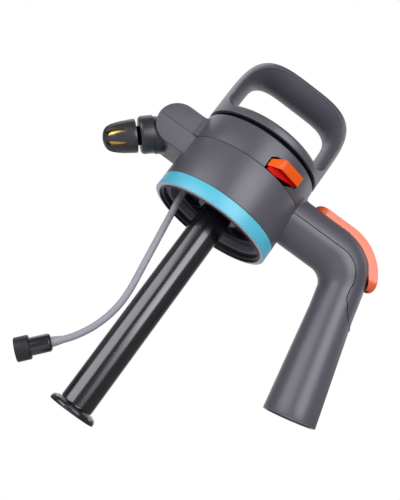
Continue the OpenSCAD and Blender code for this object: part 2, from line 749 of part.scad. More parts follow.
// Stations of the arm, elbow and grip: centre, direction and radius
function grip_stations() = concat(
    [[[arm_root_x, 0, arm_z], [1, 0, 0], arm_r]],
    [for (i = [0:elbow_steps]) let (a = elbow_sweep * i / elbow_steps)
        [elbow_centre(a), [cos(a), 0, -sin(a)], elbow_r(a)]],
    [[elbow_end() + waist_s * GRIP_DIR, GRIP_DIR, grip_waist_d / 2 - 0.2],
        [elbow_end() + grip_l * GRIP_DIR, GRIP_DIR, grip_end_d / 2]]);

module grip_form(inset, sides, extra) {
    base = grip_stations();
    last = len(base) - 1;
    stations = [for (i = [0:last])
        i == last ? [base[i][0] + extra * GRIP_DIR, base[i][1], base[i][2]] : base[i]];
    points = [for (s = stations) each ring_at(s[0], s[1], s[2] - inset, sides, [0, 1, 0])];
    polyhedron(points, tube_faces(len(stations), sides), convexity = 6);
}

module grip_hull() {
    difference() {
        grip_form(0, 40, 0);
        grip_form(grip_wall, GRIP_BORE_SIDES, 1);
        cylinder(r = body_r, h = 2 * shell_top_z);
    }
}

// Side outline of the cover: along the arm, round the elbow and out to the back of the grip
module cover_outline() {
    bend_r = 24;
    bend_x = elbow_x + 9.5;
    polygon(concat([[0, arm_z]],
        [for (a = [90:-10:0]) [bend_x + bend_r * cos(a), arm_z - bend_r + bend_r * sin(a)]],
        [[bend_x + bend_r + 1.4, arm_z - bend_r - 8], [bend_x + bend_r + 5, elbow_z - 1],
            [bend_x + bend_r + 7.5, elbow_z - 5], [bend_x + bend_r + 12, elbow_z - 9.5],
            [bend_x + bend_r + 26, elbow_z - 18], [bend_x + 80, elbow_z - 18], [bend_x + 80, 2 * arm_z],
            [0, 2 * arm_z]]));
}

module cover_space() {
    translate([0, 2 * arm_r, 0]) rotate([90, 0, 0]) linear_extrude(4 * arm_r) cover_outline();
}

// Side outline of the trigger lever, from its nose over the elbow to its end; inset gives the hollow in it
module trigger_outline(inset) {
    top_z = arm_z + arm_r + trigger_proud - inset;
    nose_l = 6;
    nose_h = 2.5;
    end_a = 90 - trigger_end;
    depth_r = elbow_inner_r + 2 * arm_r - trigger_depth - (inset > 0 ? 1 : 0);
    arc_r = trigger_arc_r - inset;
    tip = [elbow_x + (depth_r + 4) * cos(end_a), elbow_z + (depth_r + 4) * sin(end_a)];
    bend = [elbow_x + (depth_r + 6.6 - inset) * cos(end_a), elbow_z + (depth_r + 6.6 - inset) * sin(end_a)];
    from = [trigger_arc_x + arc_r * cos(19), trigger_arc_z + arc_r * sin(19)];
    polygon(concat(
        [[trigger_start_x, elbow_z + depth_r], [trigger_start_x, top_z - nose_h - 1]],
        [for (a = [180:-15:90])
            [trigger_start_x + nose_l + nose_l * cos(a), top_z - nose_h + nose_h * sin(a)]],
        [for (a = [90:-6:24]) [trigger_arc_x + arc_r * cos(a), trigger_arc_z + arc_r * sin(a)]],
        [for (t = [0:0.2:1]) (1 - t) * (1 - t) * from + 2 * t * (1 - t) * bend + t * t * tip],
        [for (a = [end_a:6:90]) [elbow_x + depth_r * cos(a), elbow_z + depth_r * sin(a)]]));
}

// Space of a given half width that is half-round at the lever's nose and, drop degrees below it, at its end
module rounded_ends(half, nose_gap, drop) {
    intersection() {
        translate([trigger_start_x + trigger_half - nose_gap, 0, 0]) {
            cylinder(r = half, h = 200);
            translate([0, -half, 0]) cube([200, 2 * half, 200]);
        }
        translate([elbow_x, 0, elbow_z]) rotate([0, trigger_end + drop - 90, 0])
            translate([0, 0, max(half, trigger_half)]) {
                rotate([0, 90, 0]) cylinder(r = half, h = 100);
                translate([-100, -half, 0]) cube([200, 2 * half, 100]);
            }
    }
}

// Outer form of the lever, or of its hollow
module trigger_form(inset) {
    half = trigger_half - inset;
    intersection() {
        translate([0, half, 0]) rotate([90, 0, 0]) linear_extrude(2 * half) trigger_outline(inset);
        rounded_ends(half, 0, 0);
    }
}

// Slot that the lever moves in, down to its place when it is pressed
module trigger_sweep() {
    near = 36;
    far = 90;
    half = trigger_half + side_gap;
    low = 90 - trigger_end - trigger_drop;
    intersection() {
        translate([0, half, 0]) rotate([90, 0, 0]) linear_extrude(2 * half) {
            translate([trigger_start_x - 1, pivot_z - 8]) square([elbow_x + 1 - trigger_start_x, 60]);
            polygon(concat([[elbow_x, elbow_z + near], [elbow_x, elbow_z + far]],
                [for (i = [0:9]) let (a = 82 + (low - 82) * i / 9)
                    [elbow_x + far * cos(a), elbow_z + far * sin(a)]],
                [[elbow_x + near * cos(low), elbow_z + near * sin(low)]]));
        }
        rounded_ends(half, 0.6, trigger_drop);
    }
}

module pivot_bore(r, l) {
    translate([pivot_x, 0, pivot_z]) rotate([90, 0, 0]) cylinder(r = r, h = l, center = true);
}

module grip_shell() {
    seat_r = 7;
    color("#67656e") {
        difference() {
            grip_hull();
            cover_space();
            trigger_sweep();
        }
        translate([valve_x, 0, arm_z - arm_r + 1]) cylinder(r = seat_r, h = valve_z - arm_z + arm_r - 1);
    }
}

module grip_cover() {
    color("#5f5d66") difference() {
        intersection() {
            grip_hull();
            cover_space();
        }
        trigger_sweep();
        pivot_bore(trigger_pin_d / 2, trigger_pin_l);
    }
}

module grip_plug() {
    end = elbow_end() + grip_l * GRIP_DIR;
    color("#2b2a2f") translate(end) rotate([0, -grip_lean, 0]) translate([0, 0, plug_inset])
        cylinder(r = (grip_end_d / 2 - grip_wall - 0.25) * cos(180 / GRIP_BORE_SIDES), h = plug_t);
}

// ---- Trigger and valve -------------------------------------------------------------------------

module trigger_lever() {
    tongue_w = 6;
    eye_r = 5;
    slit = [2.6, 9, 5];
    color("#ef6a3a") difference() {
        union() {
            difference() {
                trigger_form(0);
                trigger_form(trigger_wall);
            }
            intersection() {
                for (side = [-1, 1]) translate([pivot_x, side * (trigger_half - trigger_wall / 2), pivot_z]) {
                    rotate([90, 0, 0]) cylinder(r = eye_r, h = trigger_wall, center = true);
                    translate([-eye_r, -trigger_wall / 2, 0]) cube([2 * eye_r, trigger_wall, eye_r]);
                }
                rounded_ends(trigger_half, 0, 0);
            }
            translate([valve_x - tongue_w / 2, -tongue_w / 2, tongue_z])
                cube([tongue_w, tongue_w, arm_z + arm_r + trigger_proud - trigger_wall / 2 - tongue_z]);
        }
        translate([elbow_x, 0, elbow_z]) rotate([0, trigger_end - 90, 0])
            translate([elbow_inner_r + 2 * arm_r - trigger_depth + 0.3, -slit[1] / 2, -1]) cube(slit);
        pivot_bore(trigger_pin_d / 2 + run_fit, 2 * trigger_w);
    }
}

module trigger_pin() {
    color("#b9bbc0") pivot_bore(trigger_pin_d / 2, trigger_pin_l);
}

module valve_body() {
    color("#2b2a2f") translate([valve_x, 0, 0]) difference() {
        translate([0, 0, valve_z]) cylinder(r = valve_r, h = valve_top_z - valve_z);
        translate([0, 0, valve_z + 4]) cylinder(r = valve_bore_r, h = valve_top_z);
        for (z = [inlet_z, outlet_z]) translate([0, 0, z]) rotate([0, -90, 0])
            cylinder(r = port_r, h = 2 * valve_r);
    }
}

module valve_gland() {
    color("#d8d8da") translate([valve_x, 0, 0])
        ring_solid(valve_r, plunger_stem_r + run_fit, valve_top_z, valve_top_z + gland_t);
}

module valve_plunger() {
    groove_z = plunger_z + 1.8;
    color("#d8d8da") translate([valve_x, 0, 0]) rotate_extrude() polygon([[0, plunger_z],
        [plunger_r, plunger_z], [plunger_r, groove_z],
        [plunger_r - 1.1, groove_z], [plunger_r - 1.1, groove_z + 1.4],
        [plunger_r, groove_z + 1.4], [plunger_r, plunger_z + plunger_head],
        [plunger_stem_r, plunger_z + plunger_head], [plunger_stem_r, plunger_top_z - 0.5],
        [plunger_stem_r - 0.5, plunger_top_z], [0, plunger_top_z]]);
}

module plunger_seal() {
    color("#111114") translate([valve_x, 0, 0]) o_ring(plunger_r - 0.55, 1.1, plunger_z + 2.5);
}

module valve_spring() {
    wire = 0.8;
    color("#b9bbc0") translate([valve_x, 0, valve_z + 4]) coil_spring(3, plunger_z - valve_z - 4, wire, 4);
}

module inlet_tube() {
    path = concat(INLET, [[valve_x - valve_r, 0, inlet_z]]);
    color("#cfd0d4") swept_tube(path, tube_d, tube_sides, [0, 1, 0.35]);
}

module outlet_tube() {
    path = concat([[valve_x - valve_r, 0, outlet_z]], OUTLET,
        [[5 - port_face, 0, seam_z], [-port_face, 0, seam_z]]);
    color("#cfd0d4") swept_tube(path, tube_d, tube_sides, [0, 0, 1]);
}

// ---- Relief valve ------------------------------------------------------------------------------

module at_relief() {
    rotate(relief_bearing) children();
}

// Plan outline of the tab's bar: one short facet out of the head, then a long one across it
module relief_plan() {
    polygon([[-relief_half + 2.5, -relief_back], [-relief_half, -body_r + 2.3],
        [relief_bend, -body_r - relief_proud], [relief_half, -body_r - relief_proud + 0.4],
        [relief_half, -relief_web_at], [relief_half - 6, -relief_web_at + 1]]);
}

// Front outline of the bar: level on its long facet, dropping along the short one
module relief_bar_face() {
    polygon([[-relief_half, relief_bar_z - relief_drop], [relief_bend, relief_bar_z],
        [relief_half, relief_bar_z], [relief_half, relief_top_z], [relief_bend, relief_top_z],
        [-relief_half, relief_top_z - relief_drop]]);
}

// Front outline of the web under the bar, which runs out towards its long end
module relief_web_face() {
    polygon([[-relief_half + 2.5, relief_z], [-relief_half + 11.5, relief_z],
        [-relief_half + 14.5, relief_z + 1.3], [relief_half - 13, relief_z + 3.2],
        [relief_half - 7, relief_z + 4.6],
        [relief_half - 1.5, relief_bar_z - 0.3], [relief_half - 1.5, relief_bar_z + 1],
        [-relief_half + 2.5, relief_bar_z + 1]]);
}

// Opening in the upper shell: it follows the bar, and comes down to the parting line beside the web
module relief_window() {
    side = relief_half + relief_gap;
    at_relief() translate([0, -0.8 * body_r, 0]) rotate([90, 0, 0]) linear_extrude(body_r) polygon([
        [-side, seam_z - 1], [relief_half - 12, seam_z - 1], [relief_half - 5, seam_z + 3.8],
        [relief_half - 1.5, relief_bar_z - relief_gap], [side, relief_bar_z - relief_gap],
        [side, relief_top_z + relief_gap], [relief_bend, relief_top_z + relief_gap],
        [-side, relief_top_z - relief_drop + relief_gap / 2]]);
}

module relief_seat() {
    half = relief_half + 2.4;
    color("#1d1c20") at_relief() difference() {
        intersection() {
            translate([0, 0, seam_z + 0.4]) cylinder(r = shell_bore_r, h = relief_h + 4);
            translate([-half, -body_r, seam_z]) cube([2 * half, body_r - relief_seat_in, relief_h + 5]);
        }
        translate([-relief_half - relief_gap, -body_r, relief_z - relief_gap])
            cube([relief_w + 2 * relief_gap, body_r - relief_pocket, relief_h + 2 * relief_gap]);
        translate([0, 0, relief_mid_z]) rotate([90, 0, 0]) cylinder(r = relief_stem_r + run_fit, h = body_r);
        translate([0, -relief_seat_in - 1.6, relief_mid_z]) rotate([90, 0, 0])
            cylinder(r = relief_stem_r + relief_seal_t + run_fit, h = relief_seal_t);
    }
}

module relief_tab() {
    color("#ee5a24") at_relief() {
        intersection() {
            translate([0, 0, relief_z]) linear_extrude(relief_h) relief_plan();
            rotate([90, 0, 0]) linear_extrude(2 * body_r) relief_bar_face();
        }
        translate([0, -relief_back, 0]) rotate([90, 0, 0])
            linear_extrude(relief_web_at - relief_back) relief_web_face();
        translate([0, -relief_back, relief_mid_z]) rotate([-90, 0, 0])
            cylinder(r = relief_stem_r, h = relief_back - relief_clip_at + 2);
    }
}

module relief_clip() {
    color("#d8d8da") at_relief() translate([0, -relief_clip_at, relief_mid_z]) rotate([90, 0, 0])
        difference() {
            cylinder(r = relief_clip_r, h = relief_clip_t);
            translate([0, 0, -1]) cylinder(r = relief_stem_r, h = relief_clip_t + 2);
        }
}

module relief_seal() {
    color("#111114") at_relief() translate([0, -relief_seat_in - 1.6, relief_mid_z]) rotate([90, 0, 0])
        o_ring(relief_stem_r + run_fit + relief_seal_t / 2, relief_seal_t, relief_seal_t / 2);
}

module relief_spring() {
    coil_l = relief_seat_in - relief_clip_at - relief_clip_t;
    color("#b9bbc0") at_relief() translate([0, -relief_clip_at - relief_clip_t, relief_mid_z])
        rotate([90, 0, 0]) coil_spring(relief_clip_r - 1.1, coil_l, 0.9, 4);
}

// ---- Nozzle ------------------------------------------------------------------------------------

// Frame of the nozzle: +Z runs out along the spray, from the tilting axis
module at_nozzle() {
    translate([-knuckle_reach, 0, seam_z]) rotate([0, -nozzle_fall, 0]) translate([0, 0, -nozzle_drop])
        rotate([0, -90, 0]) children();
}

module swivel_body() {
    color("#201f23") difference() {
        union() {
            trunnions(trunnion_r, trunnion_l);
            translate([-knuckle_reach, 0, seam_z]) rotate([90, 0, 0])
                cylinder(r = swivel_r, h = swivel_w, center = true);
            at_nozzle() translate([0, 0, swivel_shoulder])
                cylinder(r = swivel_w / 2, h = swivel_l - swivel_shoulder);
        }
        at_nozzle() translate([0, 0, swivel_l - stem_seat_l]) cylinder(r = neck_r, h = stem_seat_l + 1);
        at_nozzle() cylinder(r = port_r, h = swivel_l);
        translate([-knuckle_reach, 0, seam_z]) rotate([0, 90, 0]) cylinder(r = port_r, h = swivel_r + 1);
        port_groove();
    }
}

// Groove in the drum that keeps the port open over the whole tilt
module port_groove() {
    arc = [0:10:nozzle_lift];
    translate([-knuckle_reach, port_r, seam_z]) rotate([90, 0, 0]) linear_extrude(2 * port_r)
        polygon(concat([for (a = arc) (swivel_r + 1) * [cos(a), sin(a)]],
            [for (a = arc) (swivel_r - 2.5) * [cos(nozzle_lift - a), sin(nozzle_lift - a)]]));
}

// Rubber port between the outlet tube and the drum
module swivel_port() {
    drum_x = knuckle_reach - swivel_r - touch_gap;
    color("#2b2a2f") translate([0, 0, seam_z]) rotate([0, -90, 0]) rotate_extrude() polygon([
        [port_r, port_face], [port_flange_r, port_face],
        [port_flange_r, shell_bore_r - 0.5], [port_shank_r, shell_bore_r - 0.5],
        [port_shank_r, drum_x], [port_r, drum_x]]);
}

module stem_seal() {
    color("#111114") at_nozzle() o_ring(neck_r - 1.1, 2, swivel_l - stem_seat_l + 3);
}

module nozzle_collar() {
    edge = 0.8;
    collar_r = nozzle_collar_d / 2;
    color("#26252a") at_nozzle() rotate_extrude() polygon([[neck_r, collar_at], [collar_r - edge, collar_at],
        [collar_r, collar_at + edge], [collar_r, collar_at + nozzle_collar_l - edge],
        [collar_r - edge, collar_at + nozzle_collar_l], [neck_r, collar_at + nozzle_collar_l]]);
}

module nozzle_stem() {
    groove_z = swivel_l - stem_seat_l + 2;
    tip_r = 4;
    color("#201f23") at_nozzle() rotate_extrude() polygon([[port_r, swivel_l - stem_seat_l],
        [neck_r, swivel_l - stem_seat_l], [neck_r, groove_z], [neck_r - 2.1, groove_z],
        [neck_r - 2.1, groove_z + 2.1], [neck_r, groove_z + 2.1],
        [neck_r, cap_at + 6], [tip_r, cap_at + 6], [tip_r, cap_at + 14], [port_r, cap_at + 14]]);
}

module brass_insert() {
    top = cap_at + cap_l - 4.5;
    color("#c9a24a") at_nozzle() rotate_extrude() polygon([[4.3, cap_at + 6.8], [insert_r, cap_at + 6.8],
        [insert_r, top - 4], [insert_r - 3, top], [0.8, top], [0.8, top - 3], [4.3, top - 5]]);
}

// Side profile of the spray cap: a slow taper, then a rounded front
function cap_side(inset) = [for (i = [0:5:90]) let (w = cap_at + cap_shoulder_l)
    [cap_shoulder_r - inset - 5 + 5 * cos(i), w + (cap_l - cap_shoulder_l - inset) * sin(i)]];

module spray_cap() {
    edge = 0.6;
    color("#26252a") at_nozzle() difference() {
        rotate_extrude() polygon(concat(
            [[neck_r + 0.6, cap_at], [cap_r - edge, cap_at], [cap_r, cap_at + edge]],
            cap_side(0), [[0.9, cap_at + cap_l], [0.9, cap_at + cap_l - 4.5],
                [insert_r - 3, cap_at + cap_l - 4.5], [insert_r, cap_at + cap_l - 8.5],
                [insert_r, cap_at + 5], [neck_r + 0.6, cap_at + 5]]));
        for (i = [0:window_n - 1]) rotate(360 * i / window_n + 90 + window_phase)
            translate([insert_r + 0.3, 0, window_from + window_l / 2]) rotate([0, 90, 0])
                linear_extrude(cap_r) square([window_l, window_w], center = true);
    }
}

lower_shell();
upper_shell();
accent_ring();
tank_collar();
tank_gasket();
ceiling_plate();
case_screws();
pump_barrel();
barrel_seal();
rod_guide();
foot_flange();
foot_valve();
pump_piston();
piston_seal();
piston_screw();
pump_rod();
handle_hub();
d_handle();
hose_gland();
dip_hose();
strainer_body();
strainer_cap();
strainer_screen();
grip_shell();
grip_cover();
grip_plug();
trigger_lever();
trigger_pin();
valve_body();
valve_gland();
valve_plunger();
plunger_seal();
valve_spring();
inlet_tube();
outlet_tube();
relief_seat();
relief_tab();
relief_seal();
relief_spring();
relief_clip();
swivel_body();
swivel_port();
stem_seal();
nozzle_collar();
nozzle_stem();
brass_insert();
spray_cap();
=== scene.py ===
import math
import bpy
import bmesh
from mathutils import Matrix, Vector


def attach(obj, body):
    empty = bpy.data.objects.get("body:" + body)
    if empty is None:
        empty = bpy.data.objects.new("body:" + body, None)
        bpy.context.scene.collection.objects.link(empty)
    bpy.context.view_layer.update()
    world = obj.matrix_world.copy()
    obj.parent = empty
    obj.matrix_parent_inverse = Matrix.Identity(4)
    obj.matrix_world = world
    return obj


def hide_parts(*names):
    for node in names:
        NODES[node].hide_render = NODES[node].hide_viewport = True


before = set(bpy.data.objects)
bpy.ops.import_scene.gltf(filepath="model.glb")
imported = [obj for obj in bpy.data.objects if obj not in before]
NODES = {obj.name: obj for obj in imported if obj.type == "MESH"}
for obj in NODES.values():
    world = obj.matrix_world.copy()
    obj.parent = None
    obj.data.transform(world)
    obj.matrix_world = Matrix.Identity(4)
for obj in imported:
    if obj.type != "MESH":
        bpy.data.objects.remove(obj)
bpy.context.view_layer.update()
MM = 0.001


# ---- Camera ----------------------------------------------------------------------------------

def camera_matrix(az, el, roll, centre):
    """Looks at the head from azimuth and elevation in degrees, rolled about its own axis."""
    a, e, t = math.radians(az), math.radians(el), math.radians(roll)
    back = Vector((math.sin(a) * math.cos(e), -math.cos(a) * math.cos(e), math.sin(e)))
    right = (-back).cross(Vector((0, 0, 1))).normalized()
    up = right.cross(-back)
    x = math.cos(t) * right + math.sin(t) * up
    y = -math.sin(t) * right + math.cos(t) * up
    m = Matrix((x, y, back)).transposed().to_4x4()
    m.translation = centre
    return m


FOCAL_PX = 708.7
FRAME_PX = 500
SENSOR = 36
CAM_EL, CAM_ROLL = -13.43, 36.27
CAM_CENTRE = Vector((6.6, -585.2, -162.1)) * MM

cam_data = bpy.data.cameras.new("main_camera")
cam = bpy.data.objects.new("main_camera", cam_data)
bpy.context.scene.collection.objects.link(cam)
cam_data.sensor_width = SENSOR
cam_data.sensor_height = SENSOR
cam_data.sensor_fit = "AUTO"
cam_data.lens = FOCAL_PX * SENSOR / FRAME_PX
cam_data.clip_start = 0.01
cam_data.clip_end = 20
cam.matrix_world = camera_matrix(0, CAM_EL, CAM_ROLL, CAM_CENTRE)
bpy.context.scene.camera = cam


# ---- Materials -------------------------------------------------------------------------------

def srgb(code):
    """Linear colour of a #rrggbb code."""
    out = []
    for i in (1, 3, 5):
        c = int(code[i:i + 2], 16) / 255
        out.append(c / 12.92 if c <= 0.04045 else ((c + 0.055) / 1.055) ** 2.4)
    return tuple(out) + (1,)


IOR = 1.5
CLOUD_SCALE = 28
GRAIN_DEPTH = 0.0001
COAT_ROUGH = 0.12


def material(name, color, rough=0.4, vary=0.06, grain=900, bump=0.15, spec=0.5, coat=0.0, metallic=0.0,
             rough_vary=0.08, streak=None):
    """Moulded plastic, rubber or metal: base colour with slight cloudiness, grain bump, uneven gloss."""
    m = bpy.data.materials.new(name)
    m.use_nodes = True
    nt = m.node_tree
    n, link = nt.nodes, nt.links.new
    b = n["Principled BSDF"]
    b.inputs["Metallic"].default_value = metallic
    b.inputs["Specular IOR Level"].default_value = spec
    b.inputs["IOR"].default_value = IOR
    b.inputs["Coat Weight"].default_value = coat
    b.inputs["Coat Roughness"].default_value = COAT_ROUGH
    place = n.new("ShaderNodeTexCoord")
    scale = n.new("ShaderNodeMapping")
    link(place.outputs["Object"], scale.inputs["Vector"])
    if streak:
        scale.inputs["Scale"].default_value = streak
    cloud = n.new("ShaderNodeTexNoise")
    cloud.inputs["Scale"].default_value = CLOUD_SCALE
    cloud.inputs["Detail"].default_value = 4
    link(scale.outputs["Vector"], cloud.inputs["Vector"])
    tint = n.new("ShaderNodeValToRGB")
    base = srgb(color)[:3]
    dark, light = tint.color_ramp.elements
    dark.position, light.position = 0.3, 0.7
    dark.color = tuple(x * (1 - vary) for x in base) + (1,)
    light.color = tuple(min(1, x * (1 + vary)) for x in base) + (1,)
    link(cloud.outputs["Fac"], tint.inputs["Fac"])
    link(tint.outputs["Color"], b.inputs["Base Color"])
    gloss = n.new("ShaderNodeMapRange")
    gloss.inputs["To Min"].default_value = max(0.02, rough - rough_vary / 2)
    gloss.inputs["To Max"].default_value = min(1, rough + rough_vary / 2)
    link(cloud.outputs["Fac"], gloss.inputs["Value"])
    link(gloss.outputs["Result"], b.inputs["Roughness"])
    if bump:
        fine = n.new("ShaderNodeTexNoise")
        fine.inputs["Scale"].default_value = grain
        fine.inputs["Detail"].default_value = 3
        link(scale.outputs["Vector"], fine.inputs["Vector"])
        relief = n.new("ShaderNodeBump")
        relief.inputs["Strength"].default_value = bump
        relief.inputs["Distance"].default_value = GRAIN_DEPTH
        link(fine.outputs["Fac"], relief.inputs["Height"])
        link(relief.outputs["Normal"], b.inputs["Normal"])
    return m


GREY = material("grey_moulding", "#57555e", rough=0.38, grain=1500, bump=0.2, vary=0.03, spec=0.8)
# Darker copy of the grey moulding for the upper shell, the knuckle's upper half, the grip's cover and the
# blends beside them: painted shade on the upper half
GREY_PAINTED_SHADE = material("grey_moulding_painted_shade", "#514f58", rough=0.38, grain=1500, bump=0.2, vary=0.03,
                    spec=0.8)
# Pale colour on the skirt's grey bottom edge: painted highlight and painted light from below
LIP_PAINTED_HIGHLIGHT = material("pale_lip_painted_highlight", "#d2d6e4", rough=0.38, grain=800, bump=0.1, vary=0.03)
CYAN = material("cyan_ring", "#58cae2", rough=0.4, grain=1200, bump=0.1, vary=0.02, spec=0.9)
BLACK = material("black_moulding", "#232227", rough=0.42, grain=1400, bump=0.25, vary=0.08)
# Near-black and matt: painted shade for the parting lines, the groove under the handle's disc, the gap over
# the colour ring and the recessed hub, relief seat and nozzle stem
BLACK_PAINTED_SHADE = material("near_black_painted_shade", "#09080c", rough=0.8, grain=1200, bump=0.15, vary=0.08, spec=0.1)
PLATE = material("black_plate", "#2a292f", rough=0.3, grain=1200, bump=0.1, vary=0.06, spec=1.0)
GLOSS = material("black_gloss_tube", "#100e15", rough=0.2, bump=0, vary=0.1, coat=0.5, spec=1.0,
                 rough_vary=0.03, streak=(1, 1, 0.12))
SATIN = material("black_satin", "#1e1d22", rough=0.34, grain=1400, bump=0.1, vary=0.06, spec=1.0)
RUBBER = material("seal_rubber", "#1a1a1c", rough=0.7, grain=900, bump=0.3, vary=0.1)
# Rubber lightened well above its own tone: painted light in the shaded cavity inside the head
GASKET_PAINTED_LIGHT = material("gasket_rubber", "#807d88", rough=0.5, grain=900, bump=0.3, vary=0.06)
ORANGE = material("trigger_orange", "#f4661c", rough=0.4, grain=1500, bump=0.1, vary=0.02, spec=1.0,
                  coat=0.3)
RELIEF = material("relief_orange", "#f45e00", rough=0.36, grain=900, bump=0.1, vary=0.03, spec=0.35)
# Deep red for the relief tab's underside and web: painted shade on the orange plastic
RELIEF_PAINTED_SHADE = material("relief_orange_painted_shade", "#e60c00", rough=0.55, grain=900, bump=0.1, vary=0.05, spec=0.2)
HOSE_M = material("hose_grey", "#a3a0aa", rough=0.4, bump=0, vary=0.03)
TUBE_M = material("inner_tube", "#c9cad0", rough=0.35, grain=400, bump=0.05, vary=0.04)
WHITE = material("white_acetal", "#d8d8da", rough=0.35, grain=900, bump=0.1, vary=0.03)
BRASS = material("brass", "#f0c474", rough=0.34, grain=700, bump=0.1, vary=0.08, metallic=1.0)
STEEL = material("steel", "#b9bbc0", rough=0.25, grain=700, bump=0.1, vary=0.06, metallic=1.0,
                 streak=(1, 1, 0.05))
MESH_M = material("strainer_mesh", "#8d8f94", rough=0.4, grain=700, bump=0.3, vary=0.1, metallic=0.8)

# Nodes that stay as the solids have them
# The handle's hub, the relief seat and the nozzle stem take the near-black painted shade of their recesses
CAD_LOOK = {
    "tank_collar": BLACK, "tank_gasket": GASKET_PAINTED_LIGHT, "ceiling_plate": PLATE, "case_screws": STEEL,
    "pump_barrel": GLOSS, "barrel_seal": RUBBER, "rod_guide": BLACK, "foot_valve": RUBBER,
    "pump_piston": WHITE, "piston_seal": RUBBER, "piston_screw": STEEL, "pump_rod": STEEL,
    "handle_hub": BLACK_PAINTED_SHADE, "hose_gland": BLACK, "strainer_screen": MESH_M, "grip_plug": BLACK,
    "trigger_pin": STEEL, "valve_body": BLACK, "valve_gland": WHITE, "valve_plunger": WHITE,
    "plunger_seal": RUBBER, "valve_spring": STEEL, "inlet_tube": TUBE_M, "outlet_tube": TUBE_M,
    "relief_seat": BLACK_PAINTED_SHADE, "relief_seal": RUBBER, "relief_spring": STEEL, "relief_clip": WHITE,
    "swivel_body": SATIN, "swivel_port": RUBBER, "stem_seal": RUBBER, "nozzle_stem": BLACK_PAINTED_SHADE,
}
for node, look in CAD_LOOK.items():
    o = NODES[node]
    if not o.material_slots:
        o.data.materials.append(look)
    for s in o.material_slots:
        s.material = look


# ---- Mesh helpers ----------------------------------------------------------------------------

def finish_mesh(name, bm, mat, body, angle=32, slot=None, nodes=()):
    """Makes a piece of a bmesh, smooth but for sharp edges, with the nodes that it stands for."""
    me = bpy.data.meshes.new(name)
    bmesh.ops.recalc_face_normals(bm, faces=bm.faces)
    bm.to_mesh(me)
    bm.free()
    for m in (mat if isinstance(mat, tuple) else [mat]):
        me.materials.append(m)
    me.shade_smooth()
    me.set_sharp_from_angle(angle=math.radians(angle))
    o = bpy.data.objects.new(name, me)
    bpy.context.scene.collection.objects.link(o)
    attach(o, body)
    if nodes:
        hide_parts(*nodes)
    return o


def round_poly(pts, seg=4):
    """Rounds the corners of a closed outline; a point is (r, z) or (r, z, radius)."""
    out = []
    n = len(pts)
    for i, p in enumerate(pts):
        rad = p[2] if len(p) > 2 else 0
        c = Vector(p[:2])
        if rad <= 0:
            out.append(c)
            continue
        a = Vector(pts[i - 1][:2]) - c
        b = Vector(pts[(i + 1) % n][:2]) - c
        la, lb = a.length, b.length
        a.normalize()
        b.normalize()
        half = math.acos(max(-1, min(1, a.dot(b)))) / 2
        d = min(rad / math.tan(half), la * 0.49, lb * 0.49)
        rr = d * math.tan(half)
        mid = (a + b).normalized() * (rr / math.sin(half))
        s, e = c + a * d, c + b * d
        ctr = c + mid
        va, vb = s - ctr, e - ctr
        ang = math.atan2(va.x * vb.y - va.y * vb.x, va.dot(vb))
        for k in range(seg + 1):
            t = ang * k / seg
            out.append(ctr + Vector((va.x * math.cos(t) - va.y * math.sin(t),
                                     va.x * math.sin(t) + va.y * math.cos(t))))
    return out


def lathe_bm(profile, steps=128, m=None, seg=4):
    """A closed (r, z) outline in mm, spun round Z with bmesh.ops.spin."""
    bm = bmesh.new()
    pts = round_poly(profile, seg)
    vs = [bm.verts.new((p.x * MM, 0, p.y * MM)) for p in pts]
    es = [bm.edges.new((vs[i], vs[(i + 1) % len(vs)])) for i in range(len(vs))]
    bmesh.ops.spin(bm, geom=vs + es, cent=(0, 0, 0), axis=(0, 0, 1), angle=math.tau, steps=steps,
                   use_merge=True)
    bmesh.ops.remove_doubles(bm, verts=bm.verts, dist=1e-7)
    dead = [f for f in bm.faces if f.calc_area() < 1e-14]
    if dead:
        bmesh.ops.delete(bm, geom=dead, context="FACES")
    if m is not None:
        bmesh.ops.transform(bm, matrix=m, verts=bm.verts)
    return bm


def lathe(name, profile, mat, body, steps=128, m=None, seg=4, **kw):
    return finish_mesh(name, lathe_bm(profile, steps, m, seg), mat, body, **kw)


def tube_bm(rings, caps=True):
    """Bridges a list of rings of points, each the same length, in mm."""
    bm = bmesh.new()
    rows = [[bm.verts.new(Vector(p) * MM) for p in r] for r in rings]
    n = len(rows[0])
    for a, b in zip(rows, rows[1:]):
        for k in range(n):
            bm.faces.new((a[k], a[(k + 1) % n], b[(k + 1) % n], b[k]))
    if caps:
        bm.faces.new(rows[0][::-1])
        bm.faces.new(rows[-1])
    return bm


def sweep_rings(path, radius, sides, ref):
    """Rings round a path; radius is a number or a function of the share of the path."""
    rings = []
    last = len(path) - 1
    for i, p in enumerate(path):
        t = (Vector(path[min(i + 1, last)]) - Vector(path[max(i - 1, 0)])).normalized()
        s = t.cross(Vector(ref)).normalized()
        u = s.cross(t)
        r = radius(i / last) if callable(radius) else radius
        rings.append([Vector(p) + r * (math.cos(a) * s + math.sin(a) * u)
                      for a in (2 * math.pi * k / sides for k in range(sides))])
    return rings


def apply_mods(o):
    """Bakes an object's modifiers into its mesh."""
    dg = bpy.context.evaluated_depsgraph_get()
    me = bpy.data.meshes.new_from_object(o.evaluated_get(dg))
    o.modifiers.clear()
    old = o.data
    o.data = me
    bpy.data.meshes.remove(old)


def resharp(o, angle=32):
    o.data.shade_smooth()
    o.data.set_sharp_from_angle(angle=math.radians(angle))


def cutter(bm):
    """A bare working object for booleans and bevels."""
    me = bpy.data.meshes.new("cutter")
    bmesh.ops.recalc_face_normals(bm, faces=bm.faces)
    bm.to_mesh(me)
    bm.free()
    o = bpy.data.objects.new("cutter", me)
    bpy.context.scene.collection.objects.link(o)
    return o


def take_bm(o, m=None):
    """Turns a working object back into a bmesh, moved by m, and removes the object."""
    bm = bmesh.new()
    bm.from_mesh(o.data)
    bpy.data.objects.remove(o, do_unlink=True)
    if m is not None:
        bmesh.ops.transform(bm, matrix=m, verts=bm.verts)
    return bm


